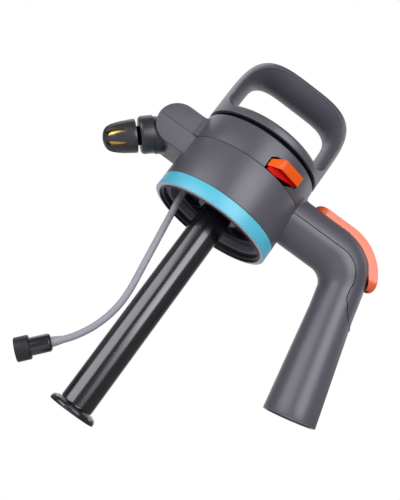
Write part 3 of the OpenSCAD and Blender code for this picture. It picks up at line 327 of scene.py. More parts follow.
def boolean(o, cut, op="DIFFERENCE"):
    tool = cut if isinstance(cut, bpy.types.Object) else cutter(cut)
    md = o.modifiers.new("cut", "BOOLEAN")
    md.operation = op
    md.solver = "EXACT"
    md.object = tool
    apply_mods(o)
    bpy.data.objects.remove(tool, do_unlink=True)


def bevel(o, width, seg=3, angle=35):
    md = o.modifiers.new("edge", "BEVEL")
    md.width = width * MM
    md.segments = seg
    md.limit_method = "ANGLE"
    md.angle_limit = math.radians(angle)
    md.profile = 0.5
    md.harden_normals = False
    md.use_clamp_overlap = True
    apply_mods(o)
    resharp(o, angle)


def box_bm(lo, hi, m=None):
    bm = bmesh.new()
    bmesh.ops.create_cube(bm, size=1)
    lo, hi = Vector(lo) * MM, Vector(hi) * MM
    for v in bm.verts:
        v.co = Vector([lo[i] + (v.co[i] + 0.5) * (hi[i] - lo[i]) for i in range(3)])
    if m is not None:
        bmesh.ops.transform(bm, matrix=m, verts=bm.verts)
    return bm


def grow(bm, face, move):
    """Extrudes a face by a move in mm."""
    r = bmesh.ops.extrude_face_region(bm, geom=[face])
    verts = [v for v in r["geom"] if isinstance(v, bmesh.types.BMVert)]
    bmesh.ops.translate(bm, vec=move * MM, verts=verts)


def prism_bm(outline, lo, hi, plane="XZ"):
    """Extrudes an outline given in mm along the axis that its plane leaves out, from lo to hi."""
    def at(p, d):
        return {"XZ": (p[0], d, p[1]), "XY": (p[0], p[1], d), "YZ": (d, p[0], p[1])}[plane]

    bm = bmesh.new()
    face = bm.faces.new([bm.verts.new(Vector(at(p, lo)) * MM) for p in outline])
    grow(bm, face, Vector(at((0, 0), hi - lo)))
    return bm


def disc_bm(r, lo, hi, steps=192):
    """A round cutter about Z from lo to hi, in mm."""
    bm = bmesh.new()
    bmesh.ops.create_cone(bm, cap_ends=True, segments=steps, radius1=r * MM, radius2=r * MM,
                          depth=(hi - lo) * MM)
    bmesh.ops.translate(bm, vec=(0, 0, (hi + lo) / 2 * MM), verts=bm.verts)
    return bm


def rot(axis, deg):
    return Matrix.Rotation(math.radians(deg), 4, axis)


def mv(x, y, z):
    return Matrix.Translation(Vector((x, y, z)) * MM)


# ---- Sizes shared with the solids ------------------------------------------------------------

# Head: radius, parting line, top; groove under the handle's disc
R, SHELL_IN, SEAM, TOP = 56.0, 53.2, 50.4, 78.6
RIM_Z, DISC_Z, DISC_TOP = 75.5, 79.5, 88.1
# Handle: turned about Z, top of its arch
TURN, ARCH_TOP = 2.5, 159.5
# Knuckle: axis, radius, half width, half width of the slot between its cheeks, and their draft
KX, KR, KW, SLOT = -71.0, 19.0, 20.5, 16.7
CHEEK_DRAFT = 0.035
# Nozzle: fall below level, offset from the knuckle's axis, base of the cap, further fall of the cap
FALL, DROP, CAP0, CAP_FALL = 40.0, 2.4, 35.2, 4.5
NOZ = mv(KX, 0, SEAM) @ rot("Y", -FALL) @ mv(0, 0, -DROP) @ rot("Y", -90) \
    @ mv(0, 0, CAP0) @ rot("Y", -CAP_FALL) @ mv(0, 0, -CAP0)
# Relief tab: turned about Z from the head's front
BEAR = 27.0
RELIEF_M = rot("Z", BEAR)
# Arm, elbow and grip
ARM_R, ARM_Z, EX, EIN, LEAN = 22.4, 46.5, 94.0, 12.5, 11.5
EZ = ARM_Z - ARM_R - EIN
GRIP_R, GRIP_L, GRIP_END_R, GRIP_WALL = 19.5, 113.5, 23.0, 3.0
# Trigger lever: angle of its lower end about the elbow, fall of that end when pressed, its nose
LEVER_END, T_DROP = 24, 4.8
NOSE_X = R + 10.5


# ---- Dip hose --------------------------------------------------------------------------------

HOSE_XZ = [(-34.5, 22), (-34.5, 16), (-34.2, 9), (-33.4, 1), (-32, -8), (-30.5, -18), (-29, -28),
           (-27.5, -38), (-26, -48), (-24.5, -58), (-23, -68), (-21.5, -78), (-20.5, -87), (-20.2, -95),
           (-20.6, -103), (-21.8, -111), (-23.8, -119), (-26.5, -127), (-30, -134.5), (-34, -141.5),
           (-38, -147.2), (-42, -151.8), (-46, -156.4)]
HOSE = [(x, 0.0, z) for x, z in HOSE_XZ]
# Radius of the hose, how much wider its end is over the strainer's stub, length of that flare
HOSE_R, HOSE_FLARE, FLARE_L = 3.0, 1.3, 16


def smooth(t):
    """Step from 0 to 1 that starts and ends level."""
    t = min(max(t, 0), 1)
    return t * t * (3 - 2 * t)


def catmull(pts, per=5):
    """Smooth curve through the points, per steps from each to the next."""
    out = []
    ctrl = [Vector(p) for p in pts]
    ctrl = [ctrl[0] * 2 - ctrl[1]] + ctrl + [ctrl[-1] * 2 - ctrl[-2]]
    for a, b, c, d in zip(ctrl, ctrl[1:], ctrl[2:], ctrl[3:]):
        for k in range(per):
            t = k / per
            out.append(0.5 * ((2 * b) + (c - a) * t + (2 * a - 5 * b + 4 * c - d) * t * t
                              + (3 * b - a - 3 * c + d) * t ** 3))
    out.append(ctrl[-2])
    return out


hose_path = catmull(HOSE, 4)
hose_len = sum((b - a).length for a, b in zip(hose_path, hose_path[1:]))


def hose_r(t):
    left = hose_len * (1 - t)
    return HOSE_R + HOSE_FLARE * smooth(1 - left / FLARE_L)


hose_bm = tube_bm(sweep_rings(hose_path, hose_r, 24, (0, 1, 0)))
hose = finish_mesh("suction_hose", hose_bm, HOSE_M, "housing", slot="clear_hose",
                   nodes=("dip_hose",))


# ---- Strainer --------------------------------------------------------------------------------

STRAINER_TILT = 41
END = mv(*HOSE[-1]) @ rot("Y", STRAINER_TILT)
strainer = lathe("strainer_body_form", [(0.0, 0), (6.0, 0, 0.5), (7.5, -1.6, 0.8), (7.5, -17),
                                        (6, -17), (6, -22), (0.0, -22)],
                 GLOSS, "housing", m=END, steps=72, slot="gloss_black", nodes=("strainer_body",))
cap_ring = lathe("strainer_cap_form", [(6.0, -17), (9.2, -17), (10, -17.8, 0.5), (10, -28.2, 0.5),
                                       (9.2, -29, 0.3), (8.0, -29), (8.2, -27), (8.2, -22), (6.0, -22)],
                 BLACK, "housing", m=END, steps=72, slot="black_plastic", nodes=("strainer_cap",))


# ---- D-handle --------------------------------------------------------------------------------

# Height where the legs turn into the arch; the arch's edge and its inner point below the crest
BEND_Z, EDGE_LOW, INNER_LOW = 100, 11.5, 25
# Exponents of the three superellipses
CREST_N, EDGE_N, INNER_N = 3.7, 3.2, 5.4
# The inner point's distance from the axis, how much nearer it comes at the disc, height of that flare
INNER_X, INNER_FLARE, INNER_FLARE_H = 41.5, 5, 12
# Half width of a leg, how much wider it is at the disc, top and height of that flare
LEG_HALF, LEG_FLARE, LEG_FLARE_Z, LEG_FLARE_H = 24, 22, 97.5, 13.5
# The handle's skin lies this much outside the disc's rim; its dark line, painted shade of the parting line,
# as a share of the half width
SKIN, LINE_AT = 0.02, 0.93


def sup(v, n):
    return math.copysign(abs(v) ** (2 / n), v)


def leg_half(z):
    """Half width of a leg's skin: its edges run out along a quarter ellipse into the disc's rim."""
    down = min(max(LEG_FLARE_Z - z, 0) / LEG_FLARE_H, 1)
    return LEG_HALF + LEG_FLARE * (1 - math.sqrt(1 - down ** 2))


def arch_frame(low, t):
    """Crest, edge and inner point of the handle's section, and its half width."""
    lift = ARCH_TOP - BEND_Z
    c, s = math.cos(t), math.sin(t)
    flare = INNER_FLARE * (1 - smooth((low - DISC_TOP) / INNER_FLARE_H)) ** 2
    half = leg_half(low)
    skin = R + SKIN
    edge_x = math.sqrt(skin ** 2 - half * half)
    crest = Vector((-skin * sup(c, CREST_N), low + lift * sup(s, CREST_N)))
    edge = Vector((-edge_x * sup(c, EDGE_N), low + (lift - EDGE_LOW) * sup(s, EDGE_N)))
    inner = Vector((-(INNER_X - flare) * sup(c, INNER_N), low + (lift - INNER_LOW) * sup(s, INNER_N)))
    return crest, edge, inner, half


def arch_skin(crest, edge, half, u):
    """Point of the outer skin, which is part of the head's cylinder along the legs."""
    edge_x = math.sqrt(R * R - half * half)
    return edge + (crest - edge) * ((math.sqrt(R * R - (u * half) ** 2) - edge_x) / (R - edge_x))


def arch_ring(low, t, m=24):
    crest, edge, inner, half = arch_frame(low, t)
    out = []
    for i in range(m + 1):
        u = -1 + 2 * i / m
        p = arch_skin(crest, edge, half, u)
        out.append((p.x, u * half, p.y))
    for i in range(1, m):
        u = 1 - 2 * i / m
        p = edge + (inner - edge) * (1 - abs(u) ** 2.2)
        out.append((p.x, u * half, p.y))
    return out


LEG_ZS = [80.4, 82.5, 84, 84.6, 85.4, 86.4, 87.4, 88.4, 89.4, 90.4, 91.6, 93, 94.6, 96.2, 98]
stations = [(z, 0.0) for z in LEG_ZS] + [(BEND_Z, math.pi * i / 96) for i in range(97)] \
    + [(z, math.pi) for z in LEG_ZS[::-1]]
arch = tube_bm([arch_ring(*s) for s in stations])
bmesh.ops.transform(arch, matrix=rot("Z", TURN), verts=arch.verts)
disc = lathe_bm([(0, DISC_Z), (R, DISC_Z, 0.6), (R, DISC_TOP, 5), (40, DISC_TOP + 0.15),
                 (0, DISC_TOP + 0.3)], steps=160, seg=10)
finish_mesh("handle_disc", disc, GREY, "handle_group", angle=40, slot="grey_plastic")
finish_mesh("handle_arch", arch, GREY, "handle_group", angle=38, slot="grey_plastic",
            nodes=("d_handle",))
for side, tag in ((-1, "front"), (1, "back")):
    groove, ridge = [], []
    for low, t in stations[8:-8]:
        crest, edge, inner, half = arch_frame(low, t)
        p = arch_skin(crest, edge, half, LINE_AT)
        groove.append((p.x, side * LINE_AT * half, p.y))
        ridge.append((edge.x * 1.004, side * (half - 0.55), edge.y + 0.15))
    # The black tube along the parting line is painted shade; the grey ridge beside it catches the lamps'
    # light
    for name, pts, r, mat in (("handle_line_", groove[3:-3], 0.5, BLACK),
                              ("handle_ridge_", ridge, 0.75, GREY)):
        rings = sweep_rings(pts, lambda t: r * max(0.04, smooth(min(t, 1 - t) / 0.07)), 10, (0, 1, 0.01))
        line = tube_bm(rings)
        bmesh.ops.transform(line, matrix=rot("Z", TURN), verts=line.verts)
        finish_mesh(name + tag, line, mat, "handle_group", angle=60, slot="grey_plastic")


# ---- Head shells -----------------------------------------------------------------------------

lower = lathe("skirt_wall", [(51.02, 1.2), (53.6, 1.2), (53.6, 12.4), (R, 12.4, 0.25),
                             (R, SEAM - 0.2, 0.3), (55.2, SEAM - 0.2), (SHELL_IN, SEAM),
                             (SHELL_IN, 20.4), (47.5, 17.4), (47.5, 14.8), (51, 14.8)],
              GREY, "housing", steps=192, slot="grey_plastic", angle=30)
# Near-black ring in the gap at the parting line: painted shade
lathe("seam_line", [(54.8, SEAM - 0.25), (55.6, SEAM - 0.25), (55.6, SEAM + 0.2), (54.8, SEAM + 0.2)],
      BLACK_PAINTED_SHADE, "housing", steps=192, slot="black_plastic")
# The upper shell takes the darker grey: painted shade
upper = lathe("cap_wall", [(SHELL_IN, SEAM), (55.2, SEAM + 0.15), (R, SEAM + 0.15, 0.3), (R, RIM_Z, 0.8),
                           (53, RIM_Z), (52.2, TOP - 0.1), (14, TOP, 0.4), (14, 75.6), (SHELL_IN, 75.6)],
              GREY_PAINTED_SHADE, "housing", steps=192, slot="grey_plastic", angle=30)
# Near-black wall in the groove under the handle's disc: painted shade
lathe("groove_wall", [(51.6, RIM_Z - 0.6), (53.05, RIM_Z - 0.6), (53.05, TOP - 0.2), (52.7, TOP + 0.02),
                      (51.6, TOP + 0.02)],
      BLACK_PAINTED_SHADE, "housing", steps=160, slot="black_plastic")
# The skirt's grey bottom edge is painted pale: painted highlight
lathe("skirt_lip", [(52.2, 0.05), (55.3, 0.05, 0.2), (55.6, 0.45), (55.6, 1.2), (52.2, 1.2)],
      LIP_PAINTED_HIGHLIGHT, "housing", steps=192, slot="grey_plastic", angle=30)
lathe("skirt_inner_rim", [(50.95, -0.9, 0.3), (52.2, -0.9, 0.3), (52.25, 1.3), (50.95, 1.3)],
      BLACK, "housing", steps=192, slot="black_plastic")
# Near-black band in the gap over the colour ring: painted shade
lathe("ring_line", [(54, 11.9), (55.7, 11.9), (55.7, 12.5), (54, 12.5)], BLACK_PAINTED_SHADE, "housing", steps=192,
      slot="black_plastic")
lathe("colour_ring", [(53.6, 1.2), (55.5, 0.3, 0.1), (R, 0.35, 0.4), (R, 12.1, 0.15), (53.6, 12.1)],
      CYAN, "housing", steps=192, slot="blue_plastic", nodes=("accent_ring",), angle=30)


def stadium(r, inner_x, n=40):
    """Side outline of the knuckle: half round in front, straight back to inner_x."""
    arc = [math.pi * i / n for i in range(n + 1)]
    pts = [(KX - r * math.sin(a), SEAM + r * math.cos(a)) for a in arc]
    return pts + [(inner_x, SEAM - r), (inner_x, SEAM + r)]


def sweep_cut():
    """Room between the knuckle's cheeks for the ball, and for the nozzle over its whole tilt."""
    low, high, reach, sh, ball = 20.4, 15.8, 60, 11.6, 16.8
    a0, a1 = -FALL - 1, -FALL + 51

    def at(a, s, off):
        a = math.radians(a)
        d = Vector((-math.cos(a), math.sin(a)))
        p = Vector((-math.sin(a), -math.cos(a)))
        return (KX + d.x * s + p.x * off, SEAM + d.y * s + p.y * off)

    arc = [math.radians(118 - 217 * i / 40) for i in range(41)]
    outline = [at(a0, reach, low), (KX - 75, SEAM - 10), at(a1, reach, -high), at(a1, sh, -high)]
    outline += [(KX + ball * math.cos(t), SEAM + ball * math.sin(t)) for t in arc] + [at(a0, sh, low)]
    return prism_bm(outline, -SLOT, SLOT)


def knuckle(name, low, high, mat, inset=0.0):
    """The knuckle between two heights, its cheeks narrowing a little away from the parting line."""
    body = cutter(prism_bm(stadium(KR - inset, -46), inset - KW, KW - inset))
    if not inset:
        bevel(body, 1.0, 4, 50)
    for v in body.data.vertices:
        v.co.y -= math.copysign(abs(v.co.z - SEAM * MM) * CHEEK_DRAFT, v.co.y)
    boolean(body, box_bm((-120, -40, low), (0, 40, high)), "INTERSECT")
    boolean(body, disc_bm(SHELL_IN + 0.2, -10, 200))
    boolean(body, sweep_cut())
    finish_mesh(name, take_bm(body), mat, "housing", angle=28, slot="grey_plastic")


# The knuckle's upper half takes the darker grey: painted shade
knuckle("knuckle_lower", 20, SEAM - 0.2, GREY)
knuckle("knuckle_upper", SEAM + 0.15, 80, GREY_PAINTED_SHADE)
# Near-black strip along the knuckle's parting line: painted shade
knuckle("knuckle_seam", SEAM - 0.3, SEAM + 0.25, BLACK_PAINTED_SHADE, 0.5)


# Blend strips stand this much proud of the shells
PROUD = 0.03


def fillet(name, path, mat, seg=6):
    """A soft blend strip: path gives the corner point and the strip's two edges as vectors in mm."""
    steps = [k / seg for k in range(seg + 1)]
    bm = bmesh.new()
    rows = [[bm.verts.new(((1 - t) ** 2 * a + 2 * t * (1 - t) * c + t * t * b) * MM) for t in steps]
            for c, a, b in path]
    for a, b in zip(rows, rows[1:]):
        for k in range(seg):
            bm.faces.new((a[k], a[k + 1], b[k + 1], b[k]))
    finish_mesh(name, bm, mat, "housing", angle=60, slot="grey_plastic")


def on_body(y, z, out):
    return Vector((-math.sqrt((R + out) ** 2 - y * y), y, z))


def knuckle_fillet(name, low, mat, s):
    """Blend along the lower or upper half of the knuckle where it meets the head, on the side s of it."""
    rf = 0.5 if low else 4.5
    corner = 1.6
    z0, z1 = SEAM - KR, SEAM + KR
    ys = (0, 4, 8, 12, 15, 17.5)
    turn = [math.radians(x) for x in (15, 30, 45, 60, 75)]
    if low:
        outline = [(y, z0, 0, -1) for y in ys]
        outline += [(KW - corner + corner * math.sin(a), z0 + corner - corner * math.cos(a),
                     math.sin(a), -math.cos(a)) for a in turn]
        outline += [(KW, z, 1, 0) for z in (z0 + corner, 36, 41, 46, SEAM - 0.15)]
    else:
        outline = [(KW, z, 1, 0) for z in (SEAM + 0.15, 55, 60, 65, z1 - corner)]
        outline += [(KW - corner + corner * math.cos(a), z1 - corner + corner * math.sin(a),
                     math.cos(a), math.sin(a)) for a in turn]
        outline += [(y, z1, 0, 1) for y in ys[::-1]]
    path = []
    for y, z, ny, nz in outline:
        c = on_body(s * y, z, 0.02)
        a = c + Vector((-rf, 0, 0))
        b = on_body(s * (y + ny * rf), z + nz * rf, PROUD)
        off = Vector((0, s * ny * PROUD, nz * PROUD))
        path.append((c + off, a + off, b))
    fillet(name, path, mat)


# The upper blends take the darker grey: painted shade
for side, tag in ((-1, "front"), (1, "back")):
    knuckle_fillet("knuckle_blend_low_" + tag, True, GREY, side)
    knuckle_fillet("knuckle_blend_up_" + tag, False, GREY_PAINTED_SHADE, side)

WINDOW = [(-17.45, SEAM - 1), (4.75, SEAM - 1), (11.75, SEAM + 3.8), (15.25, 56.3), (17.45, 56.3),
          (17.45, 66.7), (-6.75, 66.4), (-13.5, 64.6), (-17.45, 61.2)]
window = prism_bm(WINDOW, -70, -46)
bmesh.ops.transform(window, matrix=RELIEF_M, verts=window.verts)
boolean(upper, window)
resharp(upper, 30)
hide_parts("lower_shell")
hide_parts("upper_shell")


def arm_blend(name, a0, a1, mat):
    """Blend where the arm meets the head, widest along the top of the arm."""
    path = []
    for i in range(33):
        a = math.radians(a0 + (a1 - a0) * i / 32)
        rf = 1.0 + 3.2 * max(math.cos(a), 0) ** 4
        ny, nz = math.sin(a), math.cos(a)
        y, z = ARM_R * ny, ARM_Z + ARM_R * nz
        c = Vector((math.sqrt(R * R - y * y), y, z))
        yb, zb = (ARM_R + rf) * ny, ARM_Z + (ARM_R + rf) * nz
        off = Vector((PROUD, PROUD * ny, PROUD * nz))
        b = Vector((math.sqrt(R * R - yb * yb), yb, zb))
        path.append((c + off, c + Vector((rf, 0, 0)) + off, b + off))
    fillet(name, path, mat)


# ---- Grip ------------------------------------------------------------------------------------

def elbow_r(a):
    """Radius of the elbow at a degrees: a slight swell, then down to the grip's."""
    swell = 0.5 * math.sin(math.radians(min(a * 3, 180)))
    return ARM_R + swell + (GRIP_R - ARM_R) * smooth((a - 36) / 42)


def elbow_c(a):
    """Centre of the elbow's section at a degrees."""
    r = EIN + elbow_r(a)
    return Vector((EX + r * math.sin(math.radians(a)), 0, EZ + r * math.cos(math.radians(a))))


SWEEP = 90 - LEAN
GD = Vector((math.sin(math.radians(LEAN)), 0, -math.cos(math.radians(LEAN))))
E_END = elbow_c(SWEEP)


def grip_path():
    """Centre, direction and radius of each section, from the head to the grip's end."""
    out = [(Vector((x, 0, ARM_Z)), Vector((1, 0, 0)), ARM_R) for x in (49, 53, 57, 61, 66, 72, 80, 88)]
    for i in range(37):
        a = SWEEP * i / 36
        t = math.radians(a)
        out.append((elbow_c(a), Vector((math.cos(t), 0, -math.sin(t))), elbow_r(a)))
    waist, waist_s = GRIP_R - 0.2, 18
    for s in (4, 9, 18, 30, 45, 60, 75, 90, 104):
        r = GRIP_R - 0.2 * min(s / waist_s, 1)
        if s >= waist_s:
            r += (GRIP_END_R - waist) * (s - waist_s) / (GRIP_L - waist_s)
        out.append((E_END + s * GD, GD, r))
    return out


SIDES = 96


def ring_of(c, d, r):
    s = d.cross(Vector((0, 1, 0))).normalized()
    u = s.cross(d)
    turn = [2 * math.pi * k / SIDES for k in range(SIDES)]
    return [c + r * (math.cos(a) * s + math.sin(a) * u) for a in turn]


def grip_solid():
    """Arm, elbow and grip as one tube: outside down to the rounded end, then back up inside."""
    st = grip_path()
    end = E_END + GRIP_L * GD
    rings = [ring_of(*s) for s in st]
    for s, r in ((-0.9, 22.97), (-0.35, 22.85), (0, 22.4), (0, 20.4), (-0.4, 20.0)):
        rings.append(ring_of(end + s * GD, GD, r))
    for s in (-1.2, -10, -30, -60, -90):
        rings.append(ring_of(end + s * GD, GD, 20.0 + s * 0.035))
    rings += [ring_of(c, d, r - GRIP_WALL) for c, d, r in st[::-1][9:]]
    bm = tube_bm(rings, caps=False)
    vs = list(bm.verts)
    first, last = vs[:SIDES], vs[-SIDES:]
    for k in range(SIDES):
        m = (k + 1) % SIDES
        bm.faces.new((first[k], last[k], last[m], first[m]))
    bmesh.ops.recalc_face_normals(bm, faces=bm.faces)
    return bm


def cover_line():
    """Parting line of the grip's cover in (x, z): level along the arm, round the elbow, out at the back."""
    br, bx = 24.0, EX + 9.5
    fall = [math.radians(a) for a in range(90, -1, -6)]
    pts = [(30, ARM_Z)] + [(bx + br * math.cos(a), ARM_Z - br + br * math.sin(a)) for a in fall]
    x0 = bx + br
    knots = [(x0, ARM_Z - br), (x0 + 1.4, ARM_Z - br - 8), (x0 + 5, EZ - 1), (x0 + 7.5, EZ - 5),
             (x0 + 12, EZ - 9.5), (x0 + 26, EZ - 18)]
    tail = catmull([(x, 0, z) for x, z in knots], 5)[1:]
    return pts + [(p.x, p.z) for p in tail]


def slot_outline():
    """Side outline of the trigger's slot: a sector about the elbow, open upwards."""
    far, near = 90, 36
    a1 = LEVER_END - T_DROP
    turn = [math.radians(82 + (a1 - 82) * i / 9) for i in range(9)] + [math.radians(a1)]
    pts = [(64, 54), (64, 110), (EX + 1, 110)]
    pts += [(EX + far * math.cos(t), EZ + far * math.sin(t)) for t in turn]
    return pts + [(EX + near * math.cos(turn[-1]), EZ + near * math.sin(turn[-1])), (EX, EZ + near)]


def half_round(half, centre, far, n=40):
    """Outline of a strip that starts with a half circle at centre and runs on to far."""
    arc = [math.radians(90 + 180 * i / n) for i in range(n + 1)]
    return [(centre + half * math.cos(t), half * math.sin(t)) for t in arc] + [(far, -half), (far, half)]


def rounded_ends(o, half, nose_gap, drop):
    """Makes a solid half round in plan at the lever's nose and across its lower end."""
    boolean(o, prism_bm(half_round(half, NOSE_X + 11 - nose_gap, 200), -1, 130, "XY"), "INTERSECT")
    end = prism_bm([(y, z) for z, y in half_round(half, max(half, 11), 130)], -101, 101, "YZ")
    bmesh.ops.transform(end, matrix=mv(EX, 0, EZ) @ rot("Y", drop - LEVER_END), verts=end.verts)
    boolean(o, end, "INTERSECT")


def slot_cutter():
    half = 11.4
    o = cutter(prism_bm(slot_outline(), -half, half))
    rounded_ends(o, half, 0.6, T_DROP)
    return o


def grip_part(name, cover, mat):
    """The grip's cover, or what is left of the grip without it."""
    o = cutter(grip_solid())
    outline = cover_line() + [(190, EZ - 18), (190, 120), (30, 120)]
    boolean(o, prism_bm(outline, -40, 40), "INTERSECT" if cover else "DIFFERENCE")
    boolean(o, disc_bm(R - 0.6, -20, 120))
    boolean(o, slot_cutter())
    return finish_mesh(name, take_bm(o), mat, "housing", angle=30, slot="grey_plastic")


grip = grip_part("grip_body", False, GREY)
# The cover takes the darker grey: painted shade
cover = grip_part("grip_top_cover", True, GREY_PAINTED_SHADE)
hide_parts("grip_shell")
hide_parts("grip_cover")


def surface_y(x, z):
    """Half width of the grip's skin at (x, z), from the section that passes nearest to it."""
    best = None
    for c, d, r in grip_path():
        rel = Vector((x, 0, z)) - c
        along = rel.dot(d)
        if best is None or abs(along) < best[0]:
            best = (abs(along), r ** 2 - (rel - along * d).length ** 2)
    return math.sqrt(max(best[1], 0))


def seam_strip(name, pts2, side):
    """Dark line, 0.8 mm wide, its middle just under the grip's skin: painted shade of the cover's parting
    line.
    """
    ys = [surface_y(x, z) for x, z in pts2]
    path = [(x, side * (y - 0.12), z) for (x, z), y in zip(pts2, ys) if y > 0]
    bm = tube_bm(sweep_rings(path, 0.4, 8, (0, 1, 0.01)))
    finish_mesh(name, bm, BLACK_PAINTED_SHADE, "housing", angle=60, slot="black_plastic")


def dense(pts2, step=1.2):
    """The same line with points about every step mm."""
    out = []
    for (x0, z0), (x1, z1) in zip(pts2, pts2[1:]):
        n = max(1, int(math.hypot(x1 - x0, z1 - z0) / step))
        for k in range(n):
            out.append((x0 + (x1 - x0) * k / n, z0 + (z1 - z0) * k / n))
    out.append(pts2[-1])
    return out


line_pts = [(50.5, ARM_Z)] + cover_line()[1:]
for side, tag in ((-1, "front"), (1, "back")):
    seam_strip("cover_seam_" + tag, dense(line_pts), side)

# The blend along the top of the arm takes the darker grey: painted shade
arm_blend("arm_blend_top", -89.5, 89.5, GREY_PAINTED_SHADE)
arm_blend("arm_blend_under", 90.5, 269.5, GREY)


# ---- Trigger ---------------------------------------------------------------------------------

def trigger_outline(inset):
    """Side outline of the lever: nose, long bend over the elbow, lip at its lower end, inner arc."""
    rise, bend_r, bend_end = 3.3, 47.2, 19
    top, ar = ARM_Z + ARM_R + rise - inset, bend_r - inset
    nose_l, nose_h = 6, 2.5
    depth = EIN + 2 * ARM_R - 4 - (1 if inset else 0)
    ax, az = EX + 8.6, ARM_Z + ARM_R + rise - bend_r
    c, s = math.cos(math.radians(LEVER_END)), math.sin(math.radians(LEVER_END))
    out = depth + 6.6 - inset
    tip = Vector((EX + (depth + 4) * c, EZ + (depth + 4) * s))
    bend = Vector((EX + out * c, EZ + out * s))
    t = math.radians(bend_end)
    start = Vector((ax + ar * math.cos(t), az + ar * math.sin(t)))
    pts = [(NOSE_X, EZ + depth), (NOSE_X, top - nose_h - 1)]
    for a in range(180, 89, -9):
        t = math.radians(a)
        pts.append((NOSE_X + nose_l + nose_l * math.cos(t), top - nose_h + nose_h * math.sin(t)))
    for a in range(90, bend_end, -3):
        t = math.radians(a)
        pts.append((ax + ar * math.cos(t), az + ar * math.sin(t)))
    for k in range(8 if inset else 9):
        t = k / 8
        pts.append(tuple((1 - t) ** 2 * start + 2 * t * (1 - t) * bend + t * t * tip))
    for a in range(LEVER_END, 91, 3):
        t = math.radians(a)
        pts.append((EX + depth * math.cos(t), EZ + depth * math.sin(t)))
    return pts


def lever_solid(inset, half):
    o = cutter(prism_bm(trigger_outline(inset), -half, half))
    rounded_ends(o, half, 0, 0)
    return o


lever = lever_solid(0, 11)
bevel(lever, 1.3, 4, 38)
boolean(lever, lever_solid(2.6, 8.4))
boolean(lever, box_bm((53.6, -4.6, -1), (56.3, 4.6, 4.5), mv(EX, 0, EZ) @ rot("Y", -LEVER_END)))
finish_mesh("trigger_skin", take_bm(lever), ORANGE, "trigger", angle=38, slot="trigger_orange",
            nodes=("trigger_lever",))


# ---- Relief tab ------------------------------------------------------------------------------

tab_plan = round_poly([(-14.25, -51.4), (-16.75, -53.7, 0.8), (-7.5, -60.15, 9), (15.6, -59.7, 2.4),
                       (15.6, -54.6), (10.75, -53.6)], 6)
tab_face = round_poly([(-16.75, 53.2), (-6.75, 57, 6), (15.6, 57, 1.6), (15.6, 66, 1.6), (-8.5, 66, 8),
                       (-16.75, 59.6, 1.0)], 6)
tab = cutter(prism_bm(tab_plan, 51, 66, "XY"))
boolean(tab, prism_bm(tab_face, -62, -50), "INTERSECT")
bevel(tab, 1.0, 4, 34)
bm = take_bm(tab)
bmesh.ops.recalc_face_normals(bm, faces=bm.faces)
# Faces of the bar's lower part that face down get the red: painted shade
for f in bm.faces:
    f.material_index = 1 if f.calc_center_median().z < 59 * MM and f.normal.z < -0.6 else 0
bmesh.ops.transform(bm, matrix=RELIEF_M, verts=bm.verts)
finish_mesh("relief_tab_bar", bm, (RELIEF, RELIEF_PAINTED_SHADE), "relief", angle=30, slot="relief_orange",
            nodes=("relief_tab",))
# The web under the bar is all red: painted shade
web_face = [(-14.25, 51), (-5.25, 51), (-2.25, 52.3), (3.75, 54.2), (9.75, 55.6), (15.25, 56.7), (15.25, 58),
            (-14.25, 58)]
web = cutter(prism_bm(web_face, -54.6, -51.4))
bevel(web, 0.4, 2, 40)
finish_mesh("relief_tab_web", take_bm(web, RELIEF_M), RELIEF_PAINTED_SHADE, "relief", angle=30, slot="relief_orange")
lathe("relief_stem_rod", [(0, 0), (2.5, 0), (2.5, 21), (2.0, 21.5), (0, 21.5)], RELIEF, "relief",
      m=RELIEF_M @ mv(0, -51, 59) @ rot("X", -90), steps=32, slot="relief_orange")


# ---- Nozzle ----------------------------------------------------------------------------------

lathe("nozzle_collar_form", [(8.2, 19.7), (15.9, 19.7), (16.5, 20.3, 0.3), (16.5, 30.2, 0.5),
                             (15.0, 32.2, 0.4), (8.2, 32.2)],
      SATIN, "nozzle", m=NOZ, steps=96, slot="black_plastic", nodes=("nozzle_collar",))

CAP_SLOTS, SLOT_TURN = 7, 225.8
CAP_SIDE = [(14.7, 0), (14.65, 3), (14.2, 8), (13.5, 13), (12.7, 18), (11.6, 22), (10.2, 24.6), (8.7, 26.3),
            (6.5, 27.7), (3.6, 28.6), (0.9, 29)]
cap_side = [(p.x, p.z + CAP0) for p in catmull([(r, 0, z) for r, z in CAP_SIDE[1:]], 4)]
cap_prof = [(8.8, CAP0), (14.7, CAP0, 0.5)] + cap_side
cap_prof += [(0.9, CAP0 + 24.6), (6.4, CAP0 + 24.6), (9.6, CAP0 + 21.5), (11.4, CAP0 + 15),
             (11.4, CAP0 + 4), (8.8, CAP0 + 4)]
cap = cutter(lathe_bm(cap_prof, steps=112, seg=3))


def window_bm(back, front, r0, r1, a, z0, z1):
    """A slot that widens towards the cap's front: half round at both ends."""
    bm = bmesh.new()
    arc = [math.radians(180 * k / 10) for k in range(11)]
    pts = [(front * math.cos(t), z1 - front + front * math.sin(t)) for t in arc]
    pts += [(-back * math.cos(t), z0 + back - back * math.sin(t)) for t in arc]
    f = bm.faces.new([bm.verts.new((r0 * MM, x * MM, z * MM)) for x, z in pts])
    grow(bm, f, Vector((r1 - r0, 0, 0)))
    bmesh.ops.transform(bm, matrix=rot("Z", a), verts=bm.verts)
    return bm


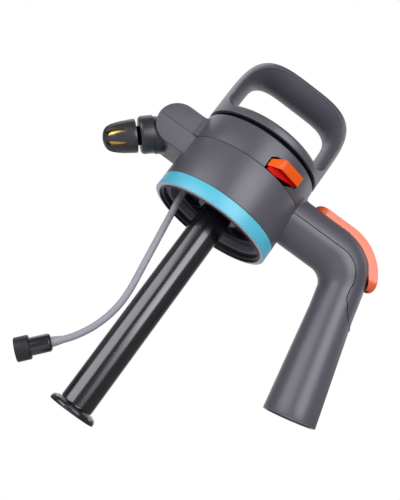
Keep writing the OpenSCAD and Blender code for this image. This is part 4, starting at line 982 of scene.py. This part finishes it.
for i in range(CAP_SLOTS):
    turn = SLOT_TURN + 360 * i / CAP_SLOTS
    boolean(cap, window_bm(1.5, 2.5, 6, 20, turn, CAP0 + 9.8, CAP0 + 26.2))
bevel(cap, 0.4, 3, 40)
finish_mesh("spray_cap_form", take_bm(cap, NOZ), SATIN, "nozzle_cap", angle=35, slot="black_plastic",
            nodes=("spray_cap",))
lathe("brass_insert_form", [(8.0, CAP0 + 6), (11.3, CAP0 + 6), (11.3, CAP0 + 15), (9.7, CAP0 + 21, 1.5),
                            (7.4, CAP0 + 24.3), (0.9, CAP0 + 24.5), (0.9, CAP0 + 21), (6.0, CAP0 + 19),
                            (8.0, CAP0 + 14)],
      BRASS, "nozzle_cap", m=NOZ, steps=72, slot="brass", nodes=("brass_insert",))


# ---- Foot flange -----------------------------------------------------------------------------

FOOT_SIDE = [(0, -189), (12.5, -189), (12.5, -184), (13.8, -184), (13.8, -184.7), (16.2, -184.7, 1.5),
             (19.6, -186.4, 2), (20.7, -188.4, 1.2), (20.5, -191.2, 0.5), (11, -191.2), (11, -190.6),
             (0, -190.6)]
NOTCHES = 12
foot = cutter(lathe_bm(FOOT_SIDE, steps=144, seg=6))
cut = bmesh.new()
for i in range(NOTCHES):
    part = box_bm((19.8, -1.3, -192), (22, 1.3, -188.9), rot("Z", 360 / NOTCHES * (i + 0.5)))
    me = bpy.data.meshes.new("notch")
    part.to_mesh(me)
    part.free()
    cut.from_mesh(me)
    bpy.data.meshes.remove(me)
boolean(foot, cut)
bevel(foot, 0.2, 2, 50)
finish_mesh("foot_flange_form", take_bm(foot), GLOSS, "housing", angle=34, slot="gloss_black",
            nodes=("foot_flange",))


# ---- Stage and light -------------------------------------------------------------------------

def floor_material():
    """White to the camera, pale and matt to the light that it throws back."""
    m = bpy.data.materials.new("floor_pale")
    m.use_nodes = True
    nt = m.node_tree
    n, link = nt.nodes, nt.links.new
    b = n["Principled BSDF"]
    b.inputs["Base Color"].default_value = srgb("#c9c9cc")
    b.inputs["Roughness"].default_value = 0.9
    white = n.new("ShaderNodeEmission")
    white.inputs["Color"].default_value = (1, 1, 1, 1)
    white.inputs["Strength"].default_value = 1.0
    mix = n.new("ShaderNodeMixShader")
    ray = n.new("ShaderNodeLightPath")
    link(ray.outputs["Is Camera Ray"], mix.inputs["Fac"])
    link(b.outputs["BSDF"], mix.inputs[1])
    link(white.outputs["Emission"], mix.inputs[2])
    link(mix.outputs["Shader"], n["Material Output"].inputs["Surface"])
    return m


def area(name, az, el, dist, size, power, lean=0):
    """Soft rectangular light that faces the origin from azimuth, elevation and distance, turned by lean."""
    d = bpy.data.lights.new(name, "AREA")
    d.shape = "RECTANGLE"
    d.size, d.size_y = size
    d.energy = power
    d.color = SOFT
    o = bpy.data.objects.new(name, d)
    bpy.context.scene.collection.objects.link(o)
    a, e = math.radians(az), math.radians(el)
    back = Vector((math.sin(a) * math.cos(e), -math.cos(a) * math.cos(e), math.sin(e)))
    x = Vector((0, 0, 1)).cross(back).normalized()
    y = back.cross(x)
    c, s = math.cos(math.radians(lean)), math.sin(math.radians(lean))
    x, y = x * c - y * s, y * c + x * s
    m = Matrix((x, y, back)).transposed().to_4x4()
    m.translation = back * dist
    o.matrix_world = m


SOFT = (0.97, 0.95, 1.0)
# Name, azimuth, elevation, distance in m, width and height in m, power in W
area("key_right", 18, 18.5, 1.6, (1.12, 1.04), 13.5)
area("key_low", 26, 0, 1.6, (0.8, 0.5), 1.4)
area("side_left", -53, -2, 1.6, (1.6, 0.86), 12.6, lean=8)
area("fill_front", 5, 50, 1.6, (1.4, 0.7), 2.2)
area("rim_right", 122, 40, 1.6, (1.0, 1.2), 4.2)
area("rim_left", -128, 40, 1.6, (1.0, 1.2), 4.6)
area("back_card", 180, 8, 1.8, (2.4, 2.0), 11)
area("under_fill", 0, -34, 1.6, (1.5, 0.75), 2.0)

# The world lights the part dimly and shows white to the camera
DIM, SHOWN = 0.2, 1.0
world = bpy.data.worlds.new("studio")
bpy.context.scene.world = world
world.use_nodes = True
nt = world.node_tree
bg = nt.nodes["Background"]
bg.inputs["Color"].default_value = (1, 1, 1, 1)
bg.inputs["Strength"].default_value = DIM
seen = nt.nodes.new("ShaderNodeBackground")
seen.inputs["Color"].default_value = (1, 1, 1, 1)
seen.inputs["Strength"].default_value = SHOWN
ray = nt.nodes.new("ShaderNodeLightPath")
mix = nt.nodes.new("ShaderNodeMixShader")
nt.links.new(ray.outputs["Is Camera Ray"], mix.inputs["Fac"])
nt.links.new(bg.outputs["Background"], mix.inputs[1])
nt.links.new(seen.outputs["Background"], mix.inputs[2])
nt.links.new(mix.outputs["Shader"], nt.nodes["World Output"].inputs["Surface"])

FLOOR_Z, FLOOR_HALF = -0.75, 4
floor_bm = bmesh.new()
bmesh.ops.create_grid(floor_bm, x_segments=4, y_segments=4, size=FLOOR_HALF)
bmesh.ops.translate(floor_bm, vec=(0, 0, FLOOR_Z), verts=floor_bm.verts)
me = bpy.data.meshes.new("floor")
floor_bm.to_mesh(me)
floor_bm.free()
me.materials.append(floor_material())
floor = bpy.data.objects.new("floor", me)
bpy.context.scene.collection.objects.link(floor)

bpy.context.scene.view_settings.view_transform = "Standard"
